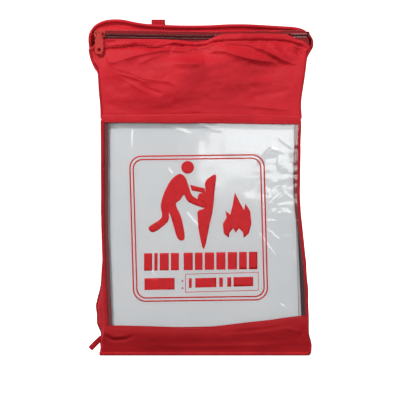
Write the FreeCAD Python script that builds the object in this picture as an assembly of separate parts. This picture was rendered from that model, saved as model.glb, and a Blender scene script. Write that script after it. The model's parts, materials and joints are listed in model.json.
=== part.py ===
"""Fire blanket in a red gusseted pouch with a clear window and a zipped mouth.

Frame: +Z up with the pouch upright, -Y out of the window face, +X to the right
seen from the front. Origin: bottom centre of the whole object's box. Millimetres.

The pouch is sewn from a back panel, side, bottom and top gussets, a clear window
film with a red lower band and hem, and a red front lip that ends in the zip. The
folded blanket stands inside with free head space above it.
"""

import FreeCAD, Part
import math
import os

V = FreeCAD.Vector

# ---- driving dimensions -------------------------------------------------
FABRIC = 0.6          # coated polyester with its seam allowance
FILM = 0.4            # clear window film
FRONT_Y = -15.4       # outer face of the lower front
BACK_Y = 15.2         # outer face of the back panel at the base
BACK_TOP_Y = 9.6      # outer face of the back panel at the top edge
BEND_Z = 200.0        # the back panel leans forward above this
TOP_Z = 342.6         # top edge of the back panel
HEM_Z0, HEM_Z1 = 237.6, 244.6
LIP_Y0 = -15.3        # outer face of the lip at its foot; it leans back to the zip
LIP_Z0, LIP_Z1 = 245.8, 307.6
BAND_TOP = 31.0       # top edge of the red lower band
S0 = (-6.0, 318.4)    # front edge of the top gusset (Y, Z)
S1 = (7.9, 341.6)     # back edge of the top gusset
BETA = math.atan2(S1[1] - S0[1], S1[0] - S0[0])
GUSSET_LEN = math.hypot(S1[0] - S0[0], S1[1] - S0[1])
ZIP_V = 14.3          # chain centre, measured up the top gusset
ZIP_X0, ZIP_X1 = -102.4, 112.0
CHAIN_HALF = 3.0      # size 5 chain is 6 mm wide
COIL_W0, COIL_W1 = 0.35, 2.65
TOOTH_PITCH = 2.8
SLIDER_X = -103.9     # slider centre when the mouth is closed
SLIDER_L, SLIDER_W = 11.8, 9.6
BAR_W, BAR_R = 6.6, 0.70
PULLER_L, PULLER_W, PULLER_T = 23.6, 8.6, 1.3
PULLER_HOLE_R = 1.8
LOOP_X, LOOP_W = -40.8, 12.0
WEB_T = 1.2
LOOP_AXIS = (12.5, 347.3)
BLANKET = (-96.3, -12.2, 1.6, 99.7, 7.4, 251.6)   # x0 y0 z0 x1 y1 z1
INK = 0.15
SHIFT = V(-0.9, -2.05, 0.0)   # brings the origin to the bottom centre of the box

OUT = "parts"
os.makedirs(OUT, exist_ok=True)
made = {}


def box(x0, y0, z0, x1, y1, z1):
    return Part.makeBox(x1 - x0, y1 - y0, z1 - z0, V(x0, y0, z0))


def prism(points, axis, a, b):
    """A closed polygon in the plane across axis, extruded from a to b along it."""
    if axis == "y":
        p = [V(x, a, z) for x, z in points]
        d = V(0, b - a, 0)
    elif axis == "x":
        p = [V(a, y, z) for y, z in points]
        d = V(b - a, 0, 0)
    else:
        p = [V(x, y, a) for x, y in points]
        d = V(0, 0, b - a)
    return Part.Face(Part.makePolygon(p + [p[0]])).extrude(d)


def rounded(x0, z0, x1, z1, r):
    """A rounded rectangle wire in the XZ plane at y = 0."""
    e, h = [], math.pi / 2
    cs = [(x1 - r, z1 - r, 0), (x0 + r, z1 - r, h), (x0 + r, z0 + r, 2 * h), (x1 - r, z0 + r, 3 * h)]
    pts = []
    for cx, cz, a in cs:
        pts.append([V(cx + r * math.cos(a + t), 0, cz + r * math.sin(a + t)) for t in (0, h / 2, h)])
    for i, (p, q, s) in enumerate(pts):
        e.append(Part.Arc(p, q, s).toShape())
        e.append(Part.LineSegment(s, pts[(i + 1) % 4][0]).toShape())
    return Part.Wire(e)


def strip(path, t, axis, a, b):
    """A band of thickness t that follows an open path of points, offset to its left side."""
    left = []
    n = len(path)
    for i, (u, w) in enumerate(path):
        dirs = []
        if i:
            dirs.append((u - path[i - 1][0], w - path[i - 1][1]))
        if i < n - 1:
            dirs.append((path[i + 1][0] - u, path[i + 1][1] - w))
        nx = ny = 0.0
        for dx, dy in dirs:
            L = math.hypot(dx, dy)
            nx, ny = nx - dy / L, ny + dx / L
        L = math.hypot(nx, ny)
        nx, ny = nx / L, ny / L
        dx, dy = dirs[0]
        k = (-dy * nx + dx * ny) / math.hypot(dx, dy)
        left.append((u + nx * t / k, w + ny * t / k))
    return prism(path + left[::-1], axis, a, b)


def tilt(shape):
    """From the top gusset's own frame (x along the zip, y up the slope, z out of it) to the row frame."""
    s = shape.copy()
    s.rotate(V(0, 0, 0), V(1, 0, 0), math.degrees(BETA))
    s.translate(V(0, S0[0], S0[1]))
    return s


def add(name, shape):
    s = shape.copy()
    s.translate(SHIFT)
    solids = s.Solids
    if not solids or not all(x.isValid() and x.Volume > 0 for x in solids):
        raise SystemExit("bad solid in " + name)
    s = solids[0] if len(solids) == 1 else Part.makeCompound(solids)
    s.exportStep(os.path.join(OUT, name + ".step"))
    made[name] = s


# ---- outline of the back and of the lip, seen from the front ------------
BACK_OUT = [(-103.4, 0.9), (108.6, 0.9), (112.6, 8.0), (109.2, 27.0), (111.6, 58.0), (107.6, 116.0), (105.6, 160.0),
            (104.8, 243.0), (108.0, 272.0), (112.6, 292.0), (116.0, 308.0), (118.0, 322.0), (112.0, 334.5),
            (98.0, 338.5), (46.0, 341.2), (-28.0, 342.0), (-58.0, 342.6), (-96.0, 342.6), (-106.0, 340.0), (-110.6, 332.0),
            (-110.8, 318.0), (-107.4, 305.0), (-103.0, 290.0), (-101.6, 240.0), (-100.6, 200.0), (-101.4, 126.0),
            (-104.4, 90.0), (-109.0, 55.0), (-110.0, 34.0), (-106.8, 18.0)]


def back_y(z):
    """Outer face of the back panel at height z."""
    t = max(0.0, min(1.0, (z - BEND_Z) / (TOP_Z - BEND_Z)))
    return BACK_Y + (BACK_TOP_Y - BACK_Y) * t


outline = prism(BACK_OUT, "y", -40, 40)
profile = strip([(BACK_Y, 0.9), (BACK_Y, BEND_Z), (BACK_TOP_Y, TOP_Z)], FABRIC, "x", -130, 130)
add("back_panel", profile.common(outline))

# ---- bottom and lower side gussets --------------------------------------
bottom = prism([(-101.6, -15.4), (104.4, -15.4), (107.0, -10.0), (107.6, 0), (107.0, 10.0), (104.4, 15.2), (-101.6, 15.2),
                (-103.4, 10.0), (-104.0, 0), (-103.4, -10.0)], "z", 0.0, 0.8)
add("bottom_gusset", bottom)

Y_IN_F, Y_IN_B = -14.3, 14.4      # between the front layers and the back panel
left_path = [(-101.9, 1.0), (-101.9, 30.0), (-101.2, 120.0), (-100.6, 244.4)]
add("side_gusset_left", strip(left_path, FABRIC, "y", Y_IN_F, 9.9))
right_path = [(102.6, 244.4), (103.4, 160.0), (105.6, 80.0), (106.6, 30.0), (106.6, 1.0)]
add("side_gusset_right", strip(right_path, FABRIC, "y", Y_IN_F, 9.9))

# pleat that closes each side gusset on to the back panel and puffs outwards at the foot
add("side_pleat_left", prism([(-102.6, 1.0), (-101.9, 14.0), (-101.9, 95.0), (-103.8, 86.0), (-106.8, 60.0), (-107.6, 40.0), (-106.2, 22.0)], "y", 10.1, 14.4))
add("side_pleat_right", prism([(107.3, 1.0), (110.6, 10.0), (108.4, 27.0), (110.2, 56.0), (107.2, 104.0), (106.7, 96.0), (106.8, 30.0)], "y", 10.1, 14.4))

# ---- lower front: film, band, hem ---------------------------------------
film_out = [(-101.6, 27.0), (105.9, 27.0), (105.2, 80.0), (103.0, 160.0), (102.4, 243.4), (-100.4, 243.4), (-100.8, 120.0)]
add("window_film", prism(film_out, "y", -14.8, -14.8 + FILM))
band_out = [(-103.4, 1.0), (108.6, 1.0), (112.4, 9.0), (108.6, 25.0), (107.4, BAND_TOP), (-101.8, BAND_TOP), (-103.6, 20.0)]
add("lower_band", prism(band_out, "y", FRONT_Y, FRONT_Y + 0.5))
add("window_hem", prism([(-102.6, HEM_Z0), (104.9, HEM_Z0), (105.1, HEM_Z1), (-102.8, HEM_Z1)], "y", -15.7, -14.95))

# ---- bindings ------------------------------------------------------------
def tube(path, w, y0, y1):
    return strip(path, w, "y", y0, y1)


add("front_binding_left", tube([(-104.3, 31.3), (-103.2, 120.0), (-103.0, 237.3)], -2.6, -16.6, -15.0))
add("front_binding_right", tube([(107.0, 31.3), (106.4, 80.0), (104.6, 160.0), (104.0, 237.3)], 2.6, -16.6, -15.0))
add("front_binding_bottom", box(-103.0, -17.0, 0.2, 108.0, -15.5, 4.2))
b = [(-103.0, 4.6), (-108.2, 20.0), (-111.4, 34.0), (-110.4, 55.0), (-105.8, 90.0), (-102.8, 126.0), (-102.0, 200.0),
     (-103.0, 240.0), (-104.4, 290.0), (-108.8, 305.0), (-112.2, 318.0), (-112.0, 331.2)]
add("back_binding_left", tube(b, -3.4, 15.3, 16.9).common(prism([(15.3, 0), (16.9, 0), (16.9, 214), (15.3, 214)], "x", -130, 130))
    .fuse(strip([(15.3, 214.0), (11.0, 331.6)], -1.6, "x", -130, 130).common(prism([(p, q) for p, q in b] + [(p + 3.4, q) for p, q in b[::-1]], "y", 0, 40))).removeSplitter())
b = [(108.4, 4.6), (114.0, 9.0), (110.6, 27.0), (113.0, 58.0), (109.0, 116.0), (107.0, 160.0),
     (106.2, 243.0), (109.4, 272.0), (114.0, 292.0), (117.4, 308.0), (118.4, 322.0)]
add("back_binding_right", tube(b, 3.4, 15.3, 16.9).common(prism([(15.3, 0), (16.9, 0), (16.9, 214), (15.3, 214)], "x", -130, 130))
    .fuse(strip([(15.3, 214.0), (11.4, 322.0)], -1.6, "x", -130, 130).common(prism([(p, q) for p, q in b] + [(p - 3.4, q) for p, q in b[::-1]], "y", 0, 40))).removeSplitter())
add("back_binding_bottom", box(-102.6, 15.3, 0.2, 108.0, 16.9, 4.2))
top_line = [(-111.6, 333.0), (-106.4, 341.6), (-96.0, 344.4), (-58.0, 344.2), (-28.0, 343.6), (46.0, 342.8), (98.0, 340.2), (112.6, 336.0), (117.6, 326.0)]
add("back_binding_top", prism(top_line + [(113.6, 324.6), (110.6, 332.6), (97.4, 336.8), (45.8, 339.4), (-28.0, 340.2), (-58.0, 340.8), (-95.6, 341.0), (-104.4, 338.6), (-108.4, 331.8)], "y", 8.3, 9.0 + 2.6)
    .cut(profile).cut(strip([(BACK_Y + 0.05, 0.9), (BACK_Y + 0.05, BEND_Z), (BACK_TOP_Y + 0.05, TOP_Z + 6)], FABRIC + 0.1, "x", -130, 130)))

# free end of the binding at the lower left corner
add("binding_tail", prism([(-104.65, 9.2), (-106.07, 13.4), (-116.6, 3.6), (-113.2, 0.3)], "y", 15.4, 16.8))

# ---- the lip leans back from its hinge seam to the top gusset -----------
LEAN = (S0[0] - 0.5 - LIP_Y0) / (S0[1] - LIP_Z0)


def lip_y(z):
    """Outer face of the lip at height z."""
    return LIP_Y0 + LEAN * (z - LIP_Z0)


def lean_layer(points, a, b, z0=240.0, z1=330.0):
    """A layer parallel to the lip, a to b behind its outer face, cut to an outline."""
    sheet = prism([(lip_y(z0) + a, z0), (lip_y(z0) + b, z0), (lip_y(z1) + b, z1), (lip_y(z1) + a, z1)], "x", -130, 130)
    return sheet.common(prism(points, "y", -40, 40))


# ---- upper side gussets (in folds) --------------------------------------
gl = [(-100.9, 246.4), (-101.8, 288.0), (-105.6, 303.0), (-108.4, 317.0), (-108.4, 341.0)]
gr = [(103.2, 246.4), (106.4, 272.0), (110.8, 292.0), (113.4, 308.0), (114.4, 321.0), (113.4, 341.0)]


def gusset(path, side):
    s = strip(path, FABRIC * side, "y", -30, 30)
    back = prism([(back_y(240) - 0.8, 240), (back_y(345) - 0.8, 345), (60, 345), (60, 240)], "x", -130, 130)
    front = prism([(lip_y(240) + 1.0, 240), (lip_y(345) + 1.0, 345), (-60, 345), (-60, 240)], "x", -130, 130)
    roof = tilt(box(-130, -40, -2.4, 130, 80, 60))
    return s.cut(back).cut(front).cut(roof).cut(box(-130, 8.2, 323.5, 130, 30, 350))


add("upper_gusset_left", gusset(gl, -1))
add("upper_gusset_right", gusset(gr, 1))

# ---- the front lip -------------------------------------------------------
lip = [(-101.8, LIP_Z0), (104.2, LIP_Z0), (107.4, 272.0), (111.8, 292.0), (114.8, LIP_Z1), (-107.6, LIP_Z1), (-106.4, 303.0), (-102.6, 288.0)]
add("front_lip", lean_layer(lip, 0.0, FABRIC))


def edge(path, w):
    side = strip(path, w, "y", -40, 40)
    return side.common(prism([(lip_y(240) - 1.2, 240), (lip_y(240) - 0.1, 240), (lip_y(330) - 0.1, 330), (lip_y(330) - 1.2, 330)], "x", -130, 130))


add("lip_binding_left", edge([(-101.9, 246.4), (-102.9, 288.0), (-106.8, 303.0), (-107.6, 306.8)], -2.4))
add("lip_binding_right", edge([(104.3, 246.4), (107.6, 272.0), (112.0, 292.0), (114.8, 306.8)], 2.4))
add("lip_top_fold", lean_layer([(-107.8, 307.8), (115.2, 307.8), (117.2, 316.0), (116.4, 319.0), (-111.0, 319.0), (-110.4, 314.0)], -0.9, FABRIC)
    .common(box(-130, -40, 300, 130, 40, 318.9)).cut(tilt(box(-130, -20, -1.1, 130, 60, 20))))

# ---- top gusset and zip (in the gusset's own frame) ----------------------
x0, x1 = -109.4, 114.4
add("top_gusset_front", tilt(box(x0, 0.2, -0.95, x1, 5.5, -0.35)))
add("top_gusset_back", tilt(box(x0, 23.0, -0.95, x1, GUSSET_LEN - 0.9, -0.35)))
add("zip_tape_front", tilt(box(x0, 4.0, -0.3, x1, ZIP_V - 1.25, 0.3)))
add("zip_tape_back", tilt(box(x0, ZIP_V + 1.25, -0.3, x1, 24.8, 0.3)))


def chain(side):
    """One half of the coil: a spine with teeth that mesh with the other half's."""
    a, tip = CHAIN_HALF, 0.85
    p = TOOTH_PITCH
    n = int((ZIP_X1 - ZIP_X0) / p)
    pts = []
    gap = 0.06
    for i in range(n):
        x = ZIP_X0 + i * p
        if side > 0:
            pts += [(x + gap, -tip + gap), (x + p / 2 - gap, -tip + gap), (x + p / 2 - gap, tip + gap), (x + p + gap, tip + gap)]
        else:
            pts += [(x - gap, -tip - gap), (x + p / 2 + gap, -tip - gap), (x + p / 2 + gap, tip - gap), (x + p - gap, tip - gap)]
    xa, xb = pts[0][0], pts[-1][0]
    pts += [(xb, side * a), (xa, side * a)]
    return prism([(x, ZIP_V + y) for x, y in pts], "z", COIL_W0, COIL_W1)


add("zip_coil_front", tilt(chain(-1)))
add("zip_coil_back", tilt(chain(1)))

# one end stop sewn over the chain, and a staple on each tape beyond the slider
add("zip_top_stops", tilt(Part.makeCompound([box(-109.2, ZIP_V - 8.4, 0.35, -107.4, ZIP_V - 5.4, 1.5), box(-109.2, ZIP_V + 5.4, 0.35, -107.4, ZIP_V + 8.4, 1.5)])))
add("zip_bottom_stop", tilt(box(ZIP_X1 + 0.5, ZIP_V - 3.6, 0.35, ZIP_X1 + 2.3, ZIP_V + 3.6, 2.5)))

# ---- slider --------------------------------------------------------------
hw = SLIDER_W / 2
xs0, xs1 = SLIDER_X - SLIDER_L / 2, SLIDER_X + SLIDER_L / 2


def plate(w0, w1):
    """Slider plate: wide shoulders at the nose, narrower at the tail, round corners."""
    p = [(xs0 + 1.2, -hw * 0.72), (xs0 + 3.6, -hw), (xs0 + 6.4, -hw), (xs1, -hw * 0.80), (xs1, hw * 0.80), (xs0 + 6.4, hw), (xs0 + 3.6, hw), (xs0 + 1.2, hw * 0.72), (xs0, 0)]
    s = prism([(x, ZIP_V + y) for x, y in p], "z", w0, w1)
    edges = [e for e in s.Edges if abs(e.Vertexes[0].Point.z - e.Vertexes[1].Point.z) > 0.1]
    return s.makeFillet(0.6, edges)


top, low = plate(3.0, 4.2), plate(-1.7, -0.65)
post = prism([(x, ZIP_V + y) for x, y in [(xs0 + 0.9, 0), (xs0 + 2.2, -1.0), (xs0 + 4.6, 0), (xs0 + 2.2, 1.0)]], "z", -1.0, 3.4)
rails = []
for s in (-1, 1):
    r = prism([(x, ZIP_V + y * s) for x, y in [(xs0 + 3.7, hw), (xs0 + 6.4, hw), (xs1 - 0.3, hw * 0.81), (xs1 - 0.3, hw * 0.81 - 0.62), (xs0 + 6.2, hw - 0.9), (xs0 + 3.7, hw - 0.9)]], "z", 0.55, 3.3)
    rails.append(r)
body = top.fuse([low, post] + rails)
body = body.removeSplitter()
add("slider_body", tilt(body))
# two legs carry the bridge bar
bar = Part.makeCylinder(BAR_R, (xs1 - 1.6) - (xs0 + 2.0), V(xs0 + 2.0, ZIP_V, BAR_W), V(1, 0, 0))
legs = [Part.makeCylinder(BAR_R, BAR_W - 4.2, V(x, ZIP_V, 4.2)) for x in (xs0 + 2.0, xs1 - 1.6)]
balls = [Part.makeSphere(BAR_R, V(x, ZIP_V, BAR_W)) for x in (xs0 + 2.0, xs1 - 1.6)]
add("slider_bridge", tilt(bar.fuse(legs + balls).removeSplitter()))

# ---- puller: knuckle round the bar, tab hanging over the lip --------------
pivot = V(0, S0[0] + ZIP_V * math.cos(BETA) - BAR_W * math.sin(BETA), S0[1] + ZIP_V * math.sin(BETA) + BAR_W * math.cos(BETA))
PX = SLIDER_X + 0.2
kn = Part.makeCylinder(BAR_R + 0.08 + 0.75, 5.0, V(PX - 2.5, 0, 0), V(1, 0, 0))
tab_pts = [(-2.5, -1.0), (2.5, -1.0), (2.7, -4.2), (PULLER_W / 2, -7.6), (PULLER_W / 2, -PULLER_L + 3.4), (PULLER_W / 2 - 1.2, -PULLER_L + 1.0),
           (PULLER_W / 2 - 3.0, -PULLER_L), (-PULLER_W / 2 + 3.0, -PULLER_L), (-PULLER_W / 2 + 1.2, -PULLER_L + 1.0), (-PULLER_W / 2, -PULLER_L + 3.4), (-PULLER_W / 2, -7.6), (-2.7, -4.2)]
tab = prism([(PX + x, z) for x, z in tab_pts], "y", -BAR_R - 0.83, -BAR_R - 0.83 + PULLER_T)
tab = tab.cut(Part.makeCylinder(PULLER_HOLE_R, 10, V(PX, -5, -PULLER_L + 4.6), V(0, 1, 0)))
puller = kn.fuse(tab).cut(Part.makeCylinder(BAR_R + 0.08, 20, V(PX - 10, 0, 0), V(1, 0, 0))).removeSplitter()
PULLER_LEAN = 12.0     # the tab leans forward over the lip's top edge
puller.rotate(V(0, 0, 0), V(1, 0, 0), -PULLER_LEAN)
puller.translate(pivot)
add("slider_puller", puller)

# ---- hanging loop --------------------------------------------------------
lx0, lx1 = LOOP_X - LOOP_W / 2, LOOP_X + LOOP_W / 2
add("loop_tab", box(lx0, 11.7, 333.0, lx1, 12.7, 347.8))
cy, zc1, zc0, ro, ri = 17.4, 342.0, 320.0, 3.7, 3.7 - WEB_T


def stadium(r):
    e = [Part.LineSegment(V(lx0, cy - r, zc0), V(lx0, cy - r, zc1)).toShape(),
         Part.Arc(V(lx0, cy - r, zc1), V(lx0, cy, zc1 + r), V(lx0, cy + r, zc1)).toShape(),
         Part.LineSegment(V(lx0, cy + r, zc1), V(lx0, cy + r, zc0)).toShape(),
         Part.Arc(V(lx0, cy + r, zc0), V(lx0, cy, zc0 - r), V(lx0, cy - r, zc0)).toShape()]
    return Part.Face(Part.Wire(e)).extrude(V(LOOP_W, 0, 0))


ring = stadium(ro).cut(stadium(ri))
neck = box(lx0, 13.1, 345.0, lx1, 17.4, 346.2)
add("hang_loop", ring.fuse(neck).removeSplitter())

# ---- blanket ---------------------------------------------------------------
bx = box(*BLANKET)
long_edges = [e for e in bx.Edges if abs(e.Vertexes[0].Point.y - e.Vertexes[1].Point.y) < 0.1 and abs(abs(e.Vertexes[0].Point.y + e.Vertexes[1].Point.y) / 2) > 1]
add("blanket_folded", bx.makeFillet(3.5, long_edges))
for name, cx in (("pull_tape_left", -58.0), ("pull_tape_right", 61.0)):
    add(name, box(cx - 12.5, -4.2, 251.7, cx + 12.5, -1.6, 293.0))

# ---- print on the film -----------------------------------------------------
def ring_print(x0, z0, x1, z1, r, w):
    outer = Part.Face(rounded(x0, z0, x1, z1, r))
    inner = Part.Face(rounded(x0 + w, z0 + w, x1 - w, z1 - w, max(r - w, 0.4)))
    return outer.cut(inner).extrude(V(0, -INK, 0))


def flat(points):
    return prism(points, "y", -INK, 0)


PY = -14.8            # front face of the film
border = Part.makeCompound([ring_print(-72.2, 56.4, 68.8, 207.4, 13.0, 1.3), ring_print(-67.4, 61.2, 64.0, 202.6, 9.0, 1.2)])
border.translate(V(0, PY, 0))
add("printed_border", border)


def limb(a, b, w0, w1):
    """A straight limb with round ends that tapers from half-width w0 to w1."""
    L = math.hypot(b[0] - a[0], b[1] - a[1])
    ux, uz = (b[0] - a[0]) / L, (b[1] - a[1]) / L
    body = flat([(a[0] - uz * w0, a[1] + ux * w0), (b[0] - uz * w1, b[1] + ux * w1), (b[0] + uz * w1, b[1] - ux * w1), (a[0] + uz * w0, a[1] - ux * w0)])
    ends = [Part.makeCylinder(r, INK, V(p[0], -INK, p[1]), V(0, 1, 0)) for p, r in ((a, w0), (b, w1))]
    return body.fuse(ends)


figure = limb((-26.0, 170.0), (-37.0, 146.0), 8.6, 6.8)
for seg in [((-24.5, 172.0), (-14.0, 158.0), 3.6, 3.2), ((-14.0, 158.0), (-0.5, 151.0), 3.2, 2.9),
            ((-38.0, 144.0), (-28.0, 126.0), 5.2, 4.4), ((-28.0, 126.0), (-24.6, 106.0), 4.4, 3.9),
            ((-38.0, 144.0), (-44.5, 126.0), 5.2, 4.2), ((-44.5, 126.0), (-58.0, 116.5), 4.2, 3.7)]:
    figure = figure.fuse(limb(*seg))
head = Part.makeCylinder(6.6, INK, V(-15.4, -INK, 190.6), V(0, 1, 0))
sheet = flat([(3.0, 166.0), (17.0, 178.0), (19.0, 150.0), (16.4, 128.0), (9.0, 105.0), (3.6, 126.0)])
flame = flat([(27.0, 112.0), (31.0, 127.0), (30.0, 137.0), (35.4, 131.0), (39.6, 152.0), (46.0, 135.0), (51.4, 143.0), (53.0, 125.0),
              (57.0, 112.0), (50.0, 104.0), (47.0, 113.0), (42.0, 120.0), (37.4, 112.0), (34.0, 104.0)])
picto = Part.makeCompound([figure.removeSplitter(), head, sheet, flame])
picto.translate(V(0, PY, 0))
add("printed_pictogram", picto)
bars = []
x = -58.0
for w in (8.6, 3.6, 9.4, 8.6, 0, 9.4, 8.2, 9.4, 9.4, 9.4, 8.6, 9.0):
    if w == 0:
        x += 5.6
        continue
    bars.append(flat([(x, 84.6), (x + w, 84.6), (x + w, 100.4), (x, 100.4)]))
    x += w + 1.7
for bx0, bx1 in ((-58.0, -27.0), (-19.0, -16.6)):
    bars.append(flat([(bx0, 68.0), (bx1, 68.0), (bx1, 77.4), (bx0, 77.4)]))
bars.append(ring_print(-13.0, 65.6, 57.6, 81.4, 1.2, 0.8))
for bx0, bx1 in ((-9.0, 15.0), (19.0, 25.0), (29.0, 53.0)):
    bars.append(flat([(bx0, 70.4), (bx1, 70.4), (bx1, 76.8), (bx0, 76.8)]))
bars = Part.makeCompound(bars)
bars.translate(V(0, PY, 0))
add("printed_bars", bars)

# ---- report ----------------------------------------------------------------
lo = [min(s.BoundBox.XMin for s in made.values()), min(s.BoundBox.YMin for s in made.values()), min(s.BoundBox.ZMin for s in made.values())]
hi = [max(s.BoundBox.XMax for s in made.values()), max(s.BoundBox.YMax for s in made.values()), max(s.BoundBox.ZMax for s in made.values())]
print("nodes", len(made), "lo", [round(x, 2) for x in lo], "hi", [round(x, 2) for x in hi])
print("pivot", pivot + SHIFT, "beta", math.degrees(BETA))
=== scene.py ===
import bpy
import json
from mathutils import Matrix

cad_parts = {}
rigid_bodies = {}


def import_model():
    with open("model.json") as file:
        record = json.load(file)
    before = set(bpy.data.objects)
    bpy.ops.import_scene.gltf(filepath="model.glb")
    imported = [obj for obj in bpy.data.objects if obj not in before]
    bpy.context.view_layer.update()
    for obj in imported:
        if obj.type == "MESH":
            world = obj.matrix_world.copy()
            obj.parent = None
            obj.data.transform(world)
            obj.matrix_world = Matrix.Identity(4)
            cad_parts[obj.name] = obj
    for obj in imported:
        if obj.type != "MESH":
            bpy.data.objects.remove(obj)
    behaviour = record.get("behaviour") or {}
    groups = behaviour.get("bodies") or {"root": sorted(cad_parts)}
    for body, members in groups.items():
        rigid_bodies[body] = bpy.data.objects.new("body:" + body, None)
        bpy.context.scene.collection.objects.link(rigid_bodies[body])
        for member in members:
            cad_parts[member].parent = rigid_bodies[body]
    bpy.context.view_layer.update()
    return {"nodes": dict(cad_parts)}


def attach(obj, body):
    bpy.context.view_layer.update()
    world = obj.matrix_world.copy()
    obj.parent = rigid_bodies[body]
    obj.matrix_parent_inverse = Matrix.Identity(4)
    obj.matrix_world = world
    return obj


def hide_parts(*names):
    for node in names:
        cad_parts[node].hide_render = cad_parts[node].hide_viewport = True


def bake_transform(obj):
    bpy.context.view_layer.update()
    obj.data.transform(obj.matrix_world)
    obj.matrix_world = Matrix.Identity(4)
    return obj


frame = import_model()

import bpy
import bmesh
import json
import math
import numpy as np
from mathutils import Vector

SHIFT = np.array([-0.9, -2.05, 0.0])      # the part's own shift, in mm
rng = np.random.RandomState(7)


# ---------------------------------------------------------------- helpers
def W(p):
    return (np.asarray(p, float) + SHIFT) / 1000.0


def curve(pts):
    """Smooth interpolation through (key, value) pairs, flat beyond the ends."""
    k = np.array([p[0] for p in pts], float)
    v = np.array([p[1] for p in pts], float)
    order = np.argsort(k)
    k, v = k[order], v[order]
    m = np.gradient(v, k)
    for i in range(1, len(k) - 1):
        a, b = (v[i] - v[i - 1]) / (k[i] - k[i - 1]), (v[i + 1] - v[i]) / (k[i + 1] - k[i])
        m[i] = 0 if a * b <= 0 else 2 * a * b / (a + b)
    m[0] = m[-1] = 0

    def f(x):
        x = np.clip(np.asarray(x, float), k[0], k[-1])
        i = np.clip(np.searchsorted(k, x) - 1, 0, len(k) - 2)
        h = k[i + 1] - k[i]
        t = (x - k[i]) / h
        return ((2 * t**3 - 3 * t**2 + 1) * v[i] + (t**3 - 2 * t**2 + t) * h * m[i]
                + (-2 * t**3 + 3 * t**2) * v[i + 1] + (t**3 - t**2) * h * m[i + 1])
    return f


def vn(x, z, sx, sz, seed):
    """Smooth value noise in -1..1."""
    T = np.random.RandomState(seed).rand(64, 64) * 2 - 1
    u, v = np.asarray(x, float) / sx + 31.3, np.asarray(z, float) / sz + 17.7
    i, j = np.floor(u).astype(int), np.floor(v).astype(int)
    f, g = u - i, v - j
    f, g = f**3 * (f * (6 * f - 15) + 10), g**3 * (g * (6 * g - 15) + 10)
    a, b = T[i % 64, j % 64], T[(i + 1) % 64, j % 64]
    c, d = T[i % 64, (j + 1) % 64], T[(i + 1) % 64, (j + 1) % 64]
    return (a * (1 - f) + b * f) * (1 - g) + (c * (1 - f) + d * f) * g


def smooth(t):
    t = np.clip(t, 0, 1)
    return t * t * (3 - 2 * t)


def crease(x, z, pts, w, amp, sharp=1.0):
    """Height of a ridge that follows a polyline and fades at both ends."""
    x, z = np.asarray(x, float), np.asarray(z, float)
    best = np.full(np.broadcast(x, z).shape, 1e9)
    fade = np.zeros_like(best)
    seg = [math.dist(pts[i], pts[i + 1]) for i in range(len(pts) - 1)]
    total, run = sum(seg), 0.0
    for i, L in enumerate(seg):
        ax, az = pts[i]
        bx, bz = pts[i + 1]
        t = np.clip(((x - ax) * (bx - ax) + (z - az) * (bz - az)) / (L * L), 0, 1)
        d = np.hypot(x - ax - t * (bx - ax), z - az - t * (bz - az))
        s = (run + t * L) / total
        hit = d < best
        best = np.where(hit, d, best)
        fade = np.where(hit, np.sin(np.pi * np.clip(s, 0.02, 0.98)) ** 0.7, fade)
        run += L
    return amp * fade * np.exp(-np.abs(best / w) ** (1.0 + sharp))


def swag(x, z, pts, up, dn, amp):
    """A hanging fold along a polyline given left to right: gentle above it, steep below it."""
    x, z = np.asarray(x, float), np.asarray(z, float)
    best = np.full(np.broadcast(x, z).shape, 1e9)
    side = np.ones_like(best)
    fade = np.zeros_like(best)
    seg = [math.dist(pts[i], pts[i + 1]) for i in range(len(pts) - 1)]
    total, run = sum(seg), 0.0
    for i, L in enumerate(seg):
        ax, az = pts[i]
        bx, bz = pts[i + 1]
        t = np.clip(((x - ax) * (bx - ax) + (z - az) * (bz - az)) / (L * L), 0, 1)
        dx, dz = x - ax - t * (bx - ax), z - az - t * (bz - az)
        d = np.hypot(dx, dz)
        sg = np.where((bx - ax) * (z - az) - (bz - az) * (x - ax) >= 0, 1.0, -1.0)
        s = (run + t * L) / total
        hit = d < best
        best = np.where(hit, d, best)
        side = np.where(hit, sg, side)
        fade = np.where(hit, np.sin(np.pi * np.clip(s, 0.02, 0.98)) ** 0.8, fade)
        run += L
    w = np.where(side > 0, up, dn)
    q = best / w
    return amp * fade * np.exp(-q * q / (0.35 + q))


def mesh_obj(name, verts, faces, mat, uv=None, smooth_shade=True):
    me = bpy.data.meshes.new(name)
    me.from_pydata([tuple(v) for v in W(verts)], [], [tuple(int(i) for i in f) for f in faces])
    me.update()
    if uv is not None:
        layer = me.uv_layers.new(name="UVMap")
        loops = np.zeros(len(me.loops), int)
        me.loops.foreach_get("vertex_index", loops)
        layer.data.foreach_set("uv", np.asarray(uv, np.float32)[loops].ravel())
    if smooth_shade:
        me.polygons.foreach_set("use_smooth", np.ones(len(me.polygons), bool))
    o = bpy.data.objects.new(name, me)
    bpy.context.scene.collection.objects.link(o)
    if mat is not None:
        me.materials.append(mat)
    return o


def grid_normals(P):
    du = np.gradient(P, axis=0)
    dv = np.gradient(P, axis=1)
    N = np.cross(du, dv)
    return N / np.maximum(np.linalg.norm(N, axis=2, keepdims=True), 1e-9)


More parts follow.
